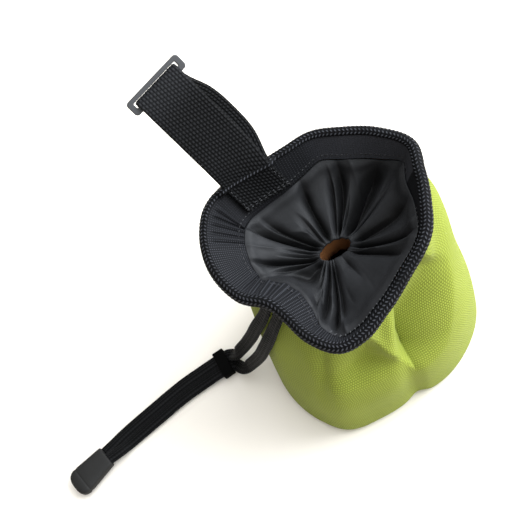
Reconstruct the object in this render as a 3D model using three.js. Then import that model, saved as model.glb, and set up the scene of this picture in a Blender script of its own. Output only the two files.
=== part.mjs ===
// Treat pouch: a soft cloth bag that stands on its base, with a folded webbing rim, a gathered throat,
// a belt strap held by a slide, and a pull cord that lies on the floor.
// Millimetres, +Z up. The origin is on the floor under the middle of the base, and +Y is the wearer's side.
import * as THREE from 'three';

// Thicknesses and the gap between sewn pieces
const WALL_CLOTH = 1.2;
const BASE_CLOTH = 1.5;
const LINING_CLOTH = 1.4;
const HEM_HEIGHT = 4.5;
const WEBBING = 1.5;
const SEWN_GAP = 0.35;
const SLOT_GAP = 0.6;
const SAME_POINT = 1e-6;

// Base and body wall
const SEAM_HEIGHT = 5;
const BASE_CORNER = 4.5;
const CORNER_STEPS = 2;
const NECK_DEPTH = 13;
const NECK_PULL = 6;
const BELLY_PULL = 62;
const WALL_STEPS = 11;
const WALL_FOOT = 2;
const COLUMNS = 60;
const SLOPE = { share: 0.01, angle: 1 };

// Rim band, an inverted U over the wall's top edge
const MOUTH_CENTRE = { x: 8, y: 8 };
const OUTER_LEG = 10;
const CREST_STEPS = 4;
const RIM_SPAN = 2;

// Gathered throat
const THROAT = { x: 4.5, y: 9, z: 79, halfLength: 8, halfWidth: 4.8 };
const LINING_STEPS = 6;
const LINING_SAG = 2;
const PLEAT_RISE = 1.4;

// Belt strap: where it crosses the rim, how deep its ends are sewn, and the slide's bar that it goes round
const STRAP_WIDTH = 25;
const STRAP_ANGLE = 117;
const STRAP_CLEAR = 0.8;
const STRAP_SEWN = { inside: [17, 9.5, 1.7], outside: [4.5, 13] };
const STRAP_SKEW = 0.25;
const STRAP_SEARCH = 30;
const STRAP_STEPS = 44;
const STRAP_RAILS = [-1, -0.5, 0, 0.5, 1];
const SLIDE_BAR = { x: -27, y: 83, z: 152 };
const SLIDE_TURN = 13;

// Slide: a plate with one slot, whose near bar the strap goes round
const NEAR_BAR = 2.6;
const SLOT_WIDTH = 2.8;
const SLOT_LENGTH = 26.6;
const FAR_BAR = 2.2;
const POST_WIDTH = 2.8;
const SLIDE_THICK = 2.4;
const SLIDE_CORNER = 3;
const SLOT_CORNER = 0.5;

// Pull cord: two flat strands, a sleeve that holds them side by side, and a moulded end
const CORD = { width: 6.4, thick: 1.7, flatWidth: 5.6, flatThick: 0.8, steps: 42 };
const KEEPER = { length: 6.5, width: 16.6, height: 5.2, wall: 0.8, corner: 1.2 };
const KEEPER_PLACE = { x: -80.6, y: 25.7, z: 2.65, turn: 4 };
const CORD_END = { length: 24.5, entry: 13.2, broad: 16.8, height: 6, bevel: 1 };
const CORD_END_PLACE = { x: -161.9, y: 11.6, z: 0.3, turn: 18 };

// The mouth from above: radius about its centre, height of the crest, lean of the band from upright, and
// depth of its inner leg, on which the lining is sewn
const MOUTH = [
  { angle: 0, radius: 47.2, height: 104.8, lean: 25, inner: 16 },
  { angle: 15, radius: 52, height: 106, lean: 22, inner: 12.5 },
  { angle: 33, radius: 49.5, height: 107, lean: 20, inner: 15.5 },
  { angle: 55, radius: 46.2, height: 108.5, lean: 20, inner: 16 },
  { angle: 73, radius: 46, height: 109.5, lean: 21, inner: 15 },
  { angle: 90, radius: 43.6, height: 110.2, lean: 24, inner: 17 },
  { angle: 104, radius: 44.6, height: 110.5, lean: 27, inner: 19 },
  { angle: 118, radius: 49.4, height: 110.5, lean: 30, inner: 20.5 },
  { angle: 132, radius: 55.6, height: 111, lean: 36, inner: 21 },
  { angle: 146, radius: 59, height: 111, lean: 44, inner: 21 },
  { angle: 172, radius: 57.8, height: 107.5, lean: 46, inner: 21 },
  { angle: 190, radius: 53.3, height: 101.3, lean: 46, inner: 20 },
  { angle: 203, radius: 46.6, height: 99, lean: 48, inner: 18.5 },
  { angle: 216, radius: 47.4, height: 97, lean: 48, inner: 15.5 },
  { angle: 231, radius: 53.2, height: 94.5, lean: 44, inner: 10.5 },
  { angle: 245, radius: 56.5, height: 92, lean: 42, inner: 9 },
  { angle: 258, radius: 52.7, height: 92, lean: 40, inner: 10 },
  { angle: 272, radius: 46.6, height: 94, lean: 35, inner: 8 },
  { angle: 295, radius: 42, height: 97.3, lean: 26, inner: 7 },
  { angle: 321, radius: 44, height: 101.8, lean: 20, inner: 8 },
  { angle: 340, radius: 44.2, height: 103.2, lean: 23, inner: 11 },
];

// The base from above, pushed in at the front, and how far the wall above it swells out or hollows in
const BASE = [
  { angle: 0, radius: 57.5, swell: 4 },
  { angle: 60, radius: 56.5, swell: 3 },
  { angle: 120, radius: 55.5, swell: 0 },
  { angle: 180, radius: 55.5, swell: -8 },
  { angle: 215, radius: 56.5, swell: -8 },
  { angle: 231, radius: 56.5, swell: -4 },
  { angle: 248, radius: 50.5, swell: 0 },
  { angle: 266, radius: 46.2, swell: 4 },
  { angle: 276, radius: 44, swell: 5 },
  { angle: 285, radius: 47.5, swell: 5 },
  { angle: 312, radius: 52, swell: 4 },
  { angle: 338, radius: 56.2, swell: 4 },
];

// Dents and folds of the wall: middle, half sizes along and up it, slant of the axis, and push outwards
const DENTS = [
  { angle: 303, height: 62, wide: 16, tall: 15, slant: 1.7, push: -6 },
  { angle: 276, height: 60, wide: 6, tall: 17, slant: 0.25, push: 3.5 },
  { angle: 257, height: 58, wide: 13, tall: 13, slant: 0.5, push: -4.5 },
  { angle: 270, height: 30, wide: 60, tall: 15, slant: 0, push: 2 },
  { angle: 226, height: 56, wide: 5, tall: 24, slant: 0, push: -2.5 },
  { angle: 2, height: 76, wide: 24, tall: 17, slant: 0, push: 5 },
  { angle: 38, height: 48, wide: 9, tall: 24, slant: 0.4, push: -2.5 },
  { angle: 78, height: 58, wide: 12, tall: 24, slant: 0.3, push: -3 },
  { angle: 142, height: 56, wide: 13, tall: 22, slant: -0.4, push: -3.5 },
];

// Middle of each strand: from under the rim, down the wall, through the sleeve and along the floor
const STRAND_A = [
  [-35.2, -3.2, 86],
  [-37.9, -3.1, 81.5],
  [-40.8, -2.7, 76.8],
  [-44.4, -1.1, 71],
  [-48.2, 1.2, 63.5],
  [-52.2, 4.4, 54],
  [-55.8, 8, 45],
  [-60.2, 12, 35],
  [-65, 16.2, 25],
  [-69.6, 20.8, 14.4],
  [-72.6, 24.8, 7.4],
  [-74.6, 27.7, 3.8],
  [-77.2, 29.2, 2.6],
  [-81, 29.3, 2.4],
  [-86.8, 29.1, 2.2],
  [-96.3, 28.7, 1.4],
  [-106.5, 27.8, 1.2],
  [-115.7, 26.2, 1.2],
  [-124.8, 24.3, 1.2],
  [-132.8, 22.6, 1.2],
  [-141.7, 20.7, 1.2],
  [-149.7, 18.7, 1.3],
  [-155.4, 16.8, 1.6],
  [-162.4, 14.6, 2],
];
const STRAND_B = [
  [-32.6, -10.8, 86],
  [-35.4, -10.6, 81.5],
  [-38.2, -10.2, 76.8],
  [-41, -9.4, 71.5],
  [-44, -8.4, 66],
  [-47.2, -6.9, 59.5],
  [-50.4, -4.9, 52.5],
  [-53.8, -2.1, 44],
  [-57.2, 1.1, 36],
  [-61, 4.5, 28],
  [-65, 8.2, 19.8],
  [-68.8, 11.9, 12],
  [-71.4, 15.4, 7],
  [-73, 18.6, 4.4],
  [-74.4, 21, 3.2],
  [-76.8, 22.35, 2.6],
  [-80.2, 22.2, 2.4],
  [-86.2, 22.1, 2.2],
  [-95.7, 21.7, 1.4],
  [-105.5, 20.8, 1.2],
  [-114.3, 19.4, 1.2],
  [-123.2, 17.5, 1.2],
  [-131.2, 15.8, 1.2],
  [-140.2, 13.9, 1.2],
  [-148.3, 12.1, 1.4],
  [-153.8, 10.4, 3],
  [-160.2, 9.1, 4],
];

// Pleats of the throat: direction, depth of the valley and its half width
const PLEATS = [
  { angle: 12, depth: 3, width: 5 },
  { angle: 29, depth: 6, width: 7 },
  { angle: 48, depth: 4, width: 5 },
  { angle: 65, depth: 5, width: 5 },
  { angle: 90, depth: 6, width: 6 },
  { angle: 110, depth: 3, width: 5 },
  { angle: 127, depth: 6, width: 5 },
  { angle: 146, depth: 3, width: 5 },
  { angle: 163, depth: 5, width: 5 },
  { angle: 176, depth: 4, width: 4 },
  { angle: 194, depth: 6, width: 6 },
  { angle: 211, depth: 4, width: 5 },
  { angle: 226, depth: 4, width: 4 },
  { angle: 240, depth: 4, width: 4 },
  { angle: 253, depth: 5, width: 5 },
  { angle: 302, depth: 3, width: 6 },
  { angle: 335, depth: 4, width: 5 },
  { angle: 353, depth: 5, width: 5 },
];

const radians = THREE.MathUtils.degToRad;
const UP = new THREE.Vector3(0, 0, 1);
const BASE_CENTRE = { x: 0, y: 0 };

// A column of a table at any angle, by a smooth closed curve through its rows.
function ringValue(rows, column, angle) {
  const turn = THREE.MathUtils.euclideanModulo(angle, 360);
  const row = (i) => {
    const lap = Math.floor(i / rows.length);
    const at = rows[THREE.MathUtils.euclideanModulo(i, rows.length)];
    return { angle: at.angle + 360 * lap, value: at[column] };
  };
  const i = rows.findLastIndex((r) => r.angle <= turn);
  const [a, b, c, d] = [row(i - 1), row(i), row(i + 1), row(i + 2)];
  const span = c.angle - b.angle;
  const share = (turn - b.angle) / span;
  const slopeB = ((c.value - a.value) / (c.angle - a.angle)) * span;
  const slopeC = ((d.value - b.value) / (d.angle - b.angle)) * span;
  const s2 = share * share;
  const s3 = s2 * share;
  return (
    (2 * s3 - 3 * s2 + 1) * b.value +
    (s3 - 2 * s2 + share) * slopeB +
    (3 * s2 - 2 * s3) * c.value +
    (s3 - s2) * slopeC
  );
}

// A point at a radius and an angle about a centre.
function polar(centre, radius, angle, z) {
  const turn = radians(angle);
  return new THREE.Vector3(centre.x + radius * Math.cos(turn), centre.y + radius * Math.sin(turn), z);
}

// A closed surface from cross sections that go once round the bag, each a closed outline of as many points.
function ringSolid(sections) {
  const corners = [];
  const triangle = (a, b, c) => {
    if (Math.min(a.distanceTo(b), b.distanceTo(c), c.distanceTo(a)) > SAME_POINT) {
      corners.push(a, b, c);
    }
  };
  sections.forEach((section, i) => {
    const next = sections[(i + 1) % sections.length];
    section.forEach((point, j) => {
      const k = (j + 1) % section.length;
      triangle(point, next[j], next[k]);
      triangle(point, next[k], section[k]);
    });
  });
  return new THREE.BufferGeometry().setFromPoints(corners);
}

const columnAngles = Array.from({ length: COLUMNS }, (_, i) => (360 * i) / COLUMNS);

// The rim's crest, and the directions along the rim, down the band and out of it.
function crestPoint(angle) {
  const radius = ringValue(MOUTH, 'radius', angle);
  return polar(MOUTH_CENTRE, radius, angle, ringValue(MOUTH, 'height', angle));
}

function rimFrame(angle) {
  const along = crestPoint(angle + RIM_SPAN).sub(crestPoint(angle - RIM_SPAN)).normalize();
  const away = new THREE.Vector3(along.y, -along.x, 0).normalize();
  const lean = radians(ringValue(MOUTH, 'lean', angle));
  const down = away.multiplyScalar(-Math.sin(lean)).addScaledVector(UP, -Math.cos(lean));
  down.addScaledVector(along, -down.dot(along)).normalize();
  return { crest: crestPoint(angle), along, down, out: down.clone().cross(along) };
}

function onRim(frame, depth, outward) {
  return frame.crest.clone().addScaledVector(frame.down, depth).addScaledVector(frame.out, outward);
}

// Base cup: a flat bottom with a rounded edge that ends at the seam.
function cupOutline(angle, inset) {
  const radius = ringValue(BASE, 'radius', angle) - inset;
  const corner = BASE_CORNER - inset;
  const points = [new THREE.Vector3(0, 0, inset)];
  points.push(polar(BASE_CENTRE, (radius - corner) / 2, angle, inset));
  for (let i = 0; i <= CORNER_STEPS; i++) {
    const turn = (Math.PI / 2) * (i / CORNER_STEPS);
    const out = radius - corner + corner * Math.sin(turn);
    points.push(polar(BASE_CENTRE, out, angle, inset + corner * (1 - Math.cos(turn))));
  }
  points.push(polar(BASE_CENTRE, radius, angle, SEAM_HEIGHT));
  return points;
}

function baseCup() {
  return ringSolid(
    columnAngles.map((angle) => [...cupOutline(angle, 0), ...cupOutline(angle, BASE_CLOTH).reverse()]),
  );
}

// Body wall: from the seam over the belly to the neck, then straight up inside the rim band.
const SLOT_TOP = WEBBING + SEWN_GAP;

function dentPush(angle, height) {
  return DENTS.reduce((push, dent) => {
    const axis = dent.angle + dent.slant * (height - dent.height);
    const off = THREE.MathUtils.euclideanModulo(angle - axis + 180, 360) - 180;
    const away = (off / dent.wide) ** 2 + ((height - dent.height) / dent.tall) ** 2;
    return push + dent.push * Math.exp(-away);
  }, 0);
}

function wallMiddle(angle, share) {
  const frame = rimFrame(angle);
  const radius = ringValue(BASE, 'radius', angle) - WALL_CLOTH / 2;
  const swell = ringValue(BASE, 'swell', angle);
  const seam = polar(BASE_CENTRE, radius, angle, SEAM_HEIGHT + SEWN_GAP);
  const belly = polar(BASE_CENTRE, radius + swell, angle, SEAM_HEIGHT + BELLY_PULL);
  const neck = onRim(frame, NECK_DEPTH, 0);
  const pull = onRim(frame, NECK_DEPTH + NECK_PULL, 0);
  const point = new THREE.CubicBezierCurve3(seam, belly, pull, neck).getPoint(share);
  const fade = 1 - Math.abs(2 * share - 1) ** 4;
  const push = polar(BASE_CENTRE, fade * dentPush(angle, point.z), angle, 0);
  return point.add(push);
}

function wallSide(angle, side) {
  const points = [];
  for (let i = 0; i <= WALL_STEPS; i++) {
    const share = i / WALL_STEPS;
    const [above, below] = [Math.min(1, share + SLOPE.share), Math.max(0, share - SLOPE.share)];
    const up = wallMiddle(angle, above).sub(wallMiddle(angle, below));
    const along = wallMiddle(angle + SLOPE.angle, share).sub(wallMiddle(angle - SLOPE.angle, share));
    const out = along.cross(up).normalize();
    points.push(wallMiddle(angle, share).addScaledVector(out, (side * WALL_CLOTH) / 2));
  }
  const frame = rimFrame(angle);
  points.push(onRim(frame, OUTER_LEG - WALL_FOOT, (side * WALL_CLOTH) / 2));
  points.push(onRim(frame, SLOT_TOP + SEWN_GAP, (side * WALL_CLOTH) / 2));
  return points;
}

function bodyWall() {
  return ringSolid(columnAngles.map((angle) => [...wallSide(angle, 1), ...wallSide(angle, -1).reverse()]));
}

// Rim band: webbing folded over the wall, with a long leg inside and a short one outside.
const SLOT_HALF = WALL_CLOTH / 2 + SLOT_GAP;
const BAND_HALF = SLOT_HALF + WEBBING;

function bandSection(angle) {
  const frame = rimFrame(angle);
  const points = [onRim(frame, OUTER_LEG, SLOT_HALF), onRim(frame, OUTER_LEG, BAND_HALF)];
  for (let i = 0; i <= CREST_STEPS; i++) {
    const turn = Math.PI * (i / CREST_STEPS);
    points.push(onRim(frame, BAND_HALF * (1 - Math.sin(turn)), BAND_HALF * Math.cos(turn)));
  }
  const inner = ringValue(MOUTH, 'inner', angle);
  points.push(onRim(frame, inner, -BAND_HALF), onRim(frame, inner, -SLOT_HALF));
  points.push(onRim(frame, SLOT_TOP, -SLOT_HALF), onRim(frame, SLOT_TOP, SLOT_HALF));
  return points;
}

function rimBand() {
  return ringSolid(columnAngles.map(bandSection));
}

// Throat lining: from the lower edge of the band's inner leg, gathered to a slit.
function pleatDepth(angle) {
  return PLEATS.reduce((deepest, pleat) => {
    const off = THREE.MathUtils.euclideanModulo(angle - pleat.angle + 180, 360) - 180;
    return Math.max(deepest, pleat.depth * Math.exp(-((off / pleat.width) ** 2)));
  }, 0);
}

function liningSection(angle) {
  const frame = rimFrame(angle);
  const inner = ringValue(MOUTH, 'inner', angle);
  const edge = onRim(frame, inner + SEWN_GAP, -(SLOT_HALF + WEBBING / 2));
  const turn = radians(angle);
  const slit = new THREE.Vector3(
    THROAT.x + THROAT.halfLength * Math.cos(turn),
    THROAT.y + THROAT.halfWidth * Math.sin(turn),
    THROAT.z,
  );
  const top = [];
  const under = [];
  for (let i = 0; i <= LINING_STEPS; i++) {
    const share = i / LINING_STEPS;
    const point = edge.clone().lerp(slit, share);
    point.z -= LINING_SAG * Math.sin(Math.PI * share);
    point.z -= pleatDepth(angle) * Math.sin((Math.PI / 2) * Math.min(1, PLEAT_RISE * share));
    const thick = share < 1 ? LINING_CLOTH : HEM_HEIGHT;
    top.push(point);
    under.push(point.clone().addScaledVector(UP, -thick));
  }
  return [...top, ...under.reverse()];
}

function throatLining() {
  const angles = new Set();
  PLEATS.forEach((pleat, i) => {
    const next = PLEATS[(i + 1) % PLEATS.length];
    const ridge = pleat.angle + THREE.MathUtils.euclideanModulo(next.angle - pleat.angle, 360) / 2;
    [pleat.angle - pleat.width, pleat.angle, pleat.angle + pleat.width, ridge].forEach((angle) =>
      angles.add(THREE.MathUtils.euclideanModulo(angle, 360)),
    );
  });
  return ringSolid([...angles].sort((a, b) => a - b).map(liningSection));
}

// A closed surface from the middle of a tape: rows of as many points, with half the thickness each way.
function tapeSolid(rows, thickness) {
  const last = rows.length - 1;
  const sides = rows.map((row, i) => {
    const [before, after] = [rows[Math.max(i - 1, 0)], rows[Math.min(i + 1, last)]];
    const along = after.map((point, j) => point.clone().sub(before[j]));
    return row.map((point, j) => {
      const across = row[Math.min(j + 1, row.length - 1)].clone().sub(row[Math.max(j - 1, 0)]);
      const out = across.cross(along[j]).setLength(thickness / 2);
      return { front: point.clone().add(out), back: point.clone().sub(out) };
    });
  });
  const outlines = sides.map((row) => [...row.map((p) => p.front), ...row.map((p) => p.back).reverse()]);
  const corners = [];
  outlines.slice(1).forEach((next, i) => {
    next.forEach((point, j) => {
      const k = (j + 1) % next.length;
      corners.push(outlines[i][j], outlines[i][k], next[k]);
      corners.push(outlines[i][j], next[k], point);
    });
  });
  [outlines[0], outlines[last].slice().reverse()].forEach((outline) => {
    const centre = outline.reduce((sum, p) => sum.add(p), new THREE.Vector3()).divideScalar(outline.length);
    outline.forEach((point, j) => corners.push(centre, outline[(j + 1) % outline.length], point));
  });
  return new THREE.BufferGeometry().setFromPoints(corners);
}

// Belt strap: sewn inside the rim, up to the slide, round its bar and down behind to the rim's outside.
const strapFoot = rimFrame(STRAP_ANGLE);
const slideBar = new THREE.Vector3(SLIDE_BAR.x, SLIDE_BAR.y, SLIDE_BAR.z);
const strapRise = slideBar.clone().sub(strapFoot.crest).normalize();
const footSide = strapFoot.along.clone().negate();
const slideSide = new THREE.Vector3(1, 0, 0).applyAxisAngle(UP, radians(SLIDE_TURN));
slideSide.addScaledVector(strapRise, -slideSide.dot(strapRise)).normalize();
const slideFront = slideSide.clone().cross(strapRise);

// Free stretch of the strap: distance up from the slide's bar, offset to the front, offset to the side
const STRAP_ROUTE = [
  { up: -44, front: 5, aside: 0 },
  { up: -30, front: 4.6, aside: 0 },
  { up: -15, front: 3.8, aside: 0 },
  { up: -5, front: 2.9, aside: 0 },
  { up: 0, front: 2.6, aside: 0 },
  { up: 2, front: 1.9, aside: 0 },
  { up: 2.75, front: 0, aside: 0 },
  { up: 2, front: -1.9, aside: 0 },
  { up: 0, front: -2.6, aside: 0 },
  { up: -6, front: -4.8, aside: 1.5 },
  { up: -18, front: -10.5, aside: 6 },
  { up: -33, front: -13.5, aside: 7.5 },
  { up: -46, front: -11.5, aside: 6.5 },
];

// Moves a point along the band's outward direction until it lies at a distance from the band's middle.
function pressToRim(point, outward) {
  let nearest = rimFrame(STRAP_ANGLE);
  const miss = (frame) => Math.abs(point.clone().sub(frame.crest).dot(frame.along));
  for (let angle = STRAP_ANGLE - STRAP_SEARCH; angle <= STRAP_ANGLE + STRAP_SEARCH; angle++) {
    const frame = rimFrame(angle);
    nearest = miss(frame) < miss(nearest) ? frame : nearest;
  }
  const now = point.clone().sub(nearest.crest).dot(nearest.out);
  return point.addScaledVector(nearest.out, outward - now);
}

function strapStations() {
  const clear = BAND_HALF + STRAP_CLEAR + WEBBING / 2;
  const sewn = (depth, outward) => (rail) => {
    const aside = (rail * STRAP_WIDTH) / 2 + STRAP_SKEW * depth;
    return pressToRim(onRim(strapFoot, depth, outward).addScaledVector(footSide, aside), outward);
  };
  const free = ({ up, front, aside }) => (rail) => {
    const point = slideBar.clone().addScaledVector(strapRise, up).addScaledVector(slideFront, front);
    return point.addScaledVector(slideSide, aside + (rail * STRAP_WIDTH) / 2);
  };
  return [
    ...STRAP_SEWN.inside.map((depth) => sewn(depth, -clear)),
    ...STRAP_ROUTE.map(free),
    ...STRAP_SEWN.outside.map((depth) => sewn(depth, clear)),
  ];
}

function beltStrap() {
  const stations = strapStations();
  const rails = STRAP_RAILS.map((rail) => {
    const points = stations.map((station) => station(rail));
    return new THREE.CatmullRomCurve3(points);
  });
  const rows = [];
  for (let i = 0; i <= STRAP_STEPS; i++) {
    rows.push(rails.map((rail) => rail.getPoint(i / STRAP_STEPS)));
  }
  return tapeSolid(rows, WEBBING);
}

// Slide: drawn flat, with the near bar on the axis and the far bar past the strap's fold.
function roundedOutline(path, halfLength, bottom, top, corner) {
  path.moveTo(-halfLength, bottom);
  path.lineTo(halfLength, bottom);
  path.lineTo(halfLength, top - corner);
  path.quadraticCurveTo(halfLength, top, halfLength - corner, top);
  path.lineTo(corner - halfLength, top);
  path.quadraticCurveTo(-halfLength, top, -halfLength, top - corner);
  path.closePath();
  return path;
}

function strapSlide() {
  const slotTop = NEAR_BAR / 2 + SLOT_WIDTH;
  const half = SLOT_LENGTH / 2;
  const plate = roundedOutline(
    new THREE.Shape(), half + POST_WIDTH, -NEAR_BAR / 2, slotTop + FAR_BAR, SLIDE_CORNER,
  );
  plate.holes.push(roundedOutline(new THREE.Path(), half, NEAR_BAR / 2, slotTop, SLOT_CORNER));
  const settings = { depth: SLIDE_THICK, curveSegments: 4, bevelEnabled: false };
  return new THREE.ExtrudeGeometry(plate, settings).translate(0, 0, -SLIDE_THICK / 2);
}

// A flat cord turns its broad side as it goes down: off the wall, to the front where it hangs, then upwards.
const AGAINST_WALL = { height: 78, facing: new THREE.Vector3(-1, -0.15, 0.2) };
const HANGING = { height: 60, facing: new THREE.Vector3(-0.87, -0.45, 0.2) };
const NEAR_FLOOR = 28;
const ON_FLOOR = 6;

class CordPath extends THREE.CatmullRomCurve3 {
  computeFrenetFrames(steps) {
    const frames = { tangents: [], normals: [], binormals: [] };
    for (let i = 0; i <= steps; i++) {
      const along = this.getTangentAt(i / steps);
      const height = this.getPointAt(i / steps).z;
      const hangShare = 1 - THREE.MathUtils.smoothstep(height, HANGING.height, AGAINST_WALL.height);
      const floorShare = 1 - THREE.MathUtils.smoothstep(height, ON_FLOOR, NEAR_FLOOR);
      const facing = AGAINST_WALL.facing.clone().lerp(HANGING.facing, hangShare).lerp(UP, floorShare);
      const side = along.clone().cross(facing).normalize();
      frames.tangents.push(along);
      frames.normals.push(side);
      frames.binormals.push(along.clone().cross(side));
    }
    return frames;
  }
}

function cordStrand(route) {
  const edge = new THREE.Vector2(CORD.width / 2, CORD.flatThick / 2);
  const face = new THREE.Vector2(CORD.flatWidth / 2, CORD.thick / 2);
  const quarter = [edge, face];
  const half = [...quarter, ...quarter.map((p) => new THREE.Vector2(-p.x, p.y)).reverse()];
  const outline = new THREE.Shape([...half, ...half.map((p) => p.clone().negate())]);
  const path = new CordPath(route.map((row) => new THREE.Vector3(...row)));
  return new THREE.ExtrudeGeometry(outline, { extrudePath: path, steps: CORD.steps, bevelEnabled: false });
}

// Sleeve: a rounded block with a flat hole along its length.
function roundedBlock(path, width, height, corner) {
  const [w, h] = [width / 2, height / 2];
  path.moveTo(corner - w, -h);
  path.lineTo(w - corner, -h);
  path.quadraticCurveTo(w, -h, w, corner - h);
  path.lineTo(w, h - corner);
  path.quadraticCurveTo(w, h, w - corner, h);
  path.lineTo(corner - w, h);
  path.quadraticCurveTo(-w, h, -w, h - corner);
  path.lineTo(-w, corner - h);
  path.quadraticCurveTo(-w, -h, corner - w, -h);
  return path;
}

function cordKeeper() {
  const { width, height, length, wall, corner } = KEEPER;
  const block = roundedBlock(new THREE.Shape(), width, height, corner);
  block.holes.push(roundedBlock(new THREE.Path(), width - 2 * wall, height - 2 * wall, corner - wall / 2));
  const sleeve = new THREE.ExtrudeGeometry(block, { depth: length, curveSegments: 3, bevelEnabled: false });
  sleeve.translate(0, 0, -length / 2).rotateX(Math.PI / 2).rotateZ(Math.PI / 2);
  sleeve.rotateZ(radians(KEEPER_PLACE.turn));
  return sleeve.translate(KEEPER_PLACE.x, KEEPER_PLACE.y, KEEPER_PLACE.z);
}

// Cord end: widens from where the strands go in and ends in a round.
function cordEnd() {
  const { length, entry, broad, height, bevel } = CORD_END;
  const [near, far] = [entry / 2 - bevel, broad / 2 - bevel];
  const plan = new THREE.Shape();
  plan.moveTo(-bevel, -near);
  plan.lineTo(-bevel, near);
  plan.lineTo(broad / 2 - length, far);
  plan.quadraticCurveTo(bevel - length, far, bevel - length, 0);
  plan.quadraticCurveTo(bevel - length, -far, broad / 2 - length, -far);
  plan.closePath();
  const block = new THREE.ExtrudeGeometry(plan, {
    depth: height - 2 * bevel,
    curveSegments: 5,
    bevelSize: bevel,
    bevelThickness: bevel,
    bevelSegments: 2,
  });
  block.rotateZ(radians(CORD_END_PLACE.turn));
  return block.translate(CORD_END_PLACE.x, CORD_END_PLACE.y, CORD_END_PLACE.z + bevel);
}

// Colours and finishes
const FINISHES = {
  limeCloth: { color: 0x9bb52c, roughness: 0.8, metalness: 0 },
  blackWebbing: { color: 0x1c1d1f, roughness: 0.75, metalness: 0 },
  blackSatin: { color: 0x222326, roughness: 0.45, metalness: 0 },
  greyPlastic: { color: 0x3a3c40, roughness: 0.5, metalness: 0 },
};

const pouch = new THREE.Group();
pouch.name = 'treat_pouch';

function addPiece(name, geometry, finish) {
  const piece = new THREE.Mesh(geometry, new THREE.MeshStandardMaterial(FINISHES[finish]));
  piece.name = name;
  pouch.add(piece);
  return piece;
}

addPiece('base_cup', baseCup(), 'limeCloth');
addPiece('body_wall', bodyWall(), 'limeCloth');
addPiece('rim_band', rimBand(), 'blackWebbing');
addPiece('throat_lining', throatLining(), 'blackSatin');
addPiece('belt_strap', beltStrap(), 'blackWebbing');

const slide = addPiece('strap_slide', strapSlide(), 'greyPlastic');
const slideUp = slideFront.clone().cross(slideSide);
slide.applyMatrix4(new THREE.Matrix4().makeBasis(slideSide, slideUp, slideFront).setPosition(slideBar));

addPiece('cord_strand_a', cordStrand(STRAND_A), 'blackWebbing');
addPiece('cord_strand_b', cordStrand(STRAND_B), 'blackWebbing');
addPiece('cord_keeper', cordKeeper(), 'greyPlastic');
addPiece('cord_end', cordEnd(), 'greyPlastic');

export default pouch;
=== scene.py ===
"""Dresses the treat pouch's frame with cloth, webbing, cord and plastic, and sets up its stage."""
import math

import bpy
import numpy as np
from mathutils import Matrix


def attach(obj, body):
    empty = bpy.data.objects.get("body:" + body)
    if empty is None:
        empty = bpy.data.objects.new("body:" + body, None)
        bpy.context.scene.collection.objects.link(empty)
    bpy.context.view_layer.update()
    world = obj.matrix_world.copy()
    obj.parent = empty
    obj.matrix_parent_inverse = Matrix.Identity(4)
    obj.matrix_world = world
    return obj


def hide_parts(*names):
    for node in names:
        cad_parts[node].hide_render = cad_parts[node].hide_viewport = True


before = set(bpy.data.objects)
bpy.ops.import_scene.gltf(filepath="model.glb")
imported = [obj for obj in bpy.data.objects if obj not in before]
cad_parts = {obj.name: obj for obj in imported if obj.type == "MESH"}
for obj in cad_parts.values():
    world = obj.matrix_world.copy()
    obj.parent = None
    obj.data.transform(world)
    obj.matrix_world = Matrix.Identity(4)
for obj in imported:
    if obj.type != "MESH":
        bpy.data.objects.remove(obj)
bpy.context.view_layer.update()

bl_info = {
    "name": "Treat pouch",
    "version": (1, 0, 0),
    "blender": (4, 5, 0),
    "location": "View3D > Sidebar > Pouch",
    "description": "Builds a soft treat pouch around its packed frame",
    "category": "Object",
}

MM = 0.001
UP = np.array((0.0, 0.0, 1.0))
BODY = "root"
UV_NAME = "weave"
FOLD_SHADING_NAME = "fold_shading"


def table(columns, *rows):
    """A table of numbers with named columns."""
    values = np.array(rows, float)
    return {name: values[:, i] for i, name in enumerate(columns.split())}


# The mouth from above: radius about its centre, height of the crest, lean of the band, depth of its inner leg
MOUTH = table(
    "angle radius height lean inner",
    (0, 47.2, 104.8, 25, 16), (15, 52, 106, 22, 12.5), (33, 49.5, 107, 20, 15.5), (55, 46.2, 108.5, 20, 16),
    (73, 46, 109.5, 21, 15), (90, 43.6, 110.2, 24, 17), (104, 44.6, 110.5, 27, 19),
    (118, 49.4, 110.5, 30, 20.5), (132, 55.6, 111, 36, 21), (146, 59, 111, 44, 21),
    (172, 57.8, 107.5, 46, 21), (190, 53.3, 101.3, 46, 20), (203, 46.6, 99, 48, 18.5),
    (216, 47.4, 97, 48, 15.5), (231, 53.2, 94.5, 44, 10.5), (245, 56.5, 92, 42, 9), (258, 52.7, 92, 40, 10),
    (272, 46.6, 94, 35, 8), (295, 42, 97.3, 26, 7), (321, 44, 101.8, 20, 8), (340, 44.2, 103.2, 23, 11),
)
MOUTH_CENTRE = (8.0, 8.0)

# The base from above, and how far the wall above it swells out or hollows in
BASE = table(
    "angle radius swell",
    (0, 57.5, 4), (60, 56.5, 3), (120, 55.5, 0), (180, 55.5, -8), (215, 56.5, -8), (231, 56.5, -4),
    (248, 50.5, 0), (266, 46.2, 4), (276, 44, 5), (285, 47.5, 5), (312, 52, 4), (338, 56.2, 4),
)

# Dents and folds of the wall: middle, half sizes, slant of the axis, push outwards
DENTS = table(
    "angle height wide tall slant push",
    (303, 62, 16, 15, 1.7, -6), (276, 60, 6, 17, 0.25, 3.5), (257, 58, 13, 13, 0.5, -4.5),
    (270, 30, 60, 15, 0, 2), (226, 56, 5, 24, 0, -2.5), (2, 76, 24, 17, 0, 5),
    (38, 48, 9, 24, 0.4, -2.5), (78, 58, 12, 24, 0.3, -3), (142, 56, 13, 22, -0.4, -3.5),
)

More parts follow.
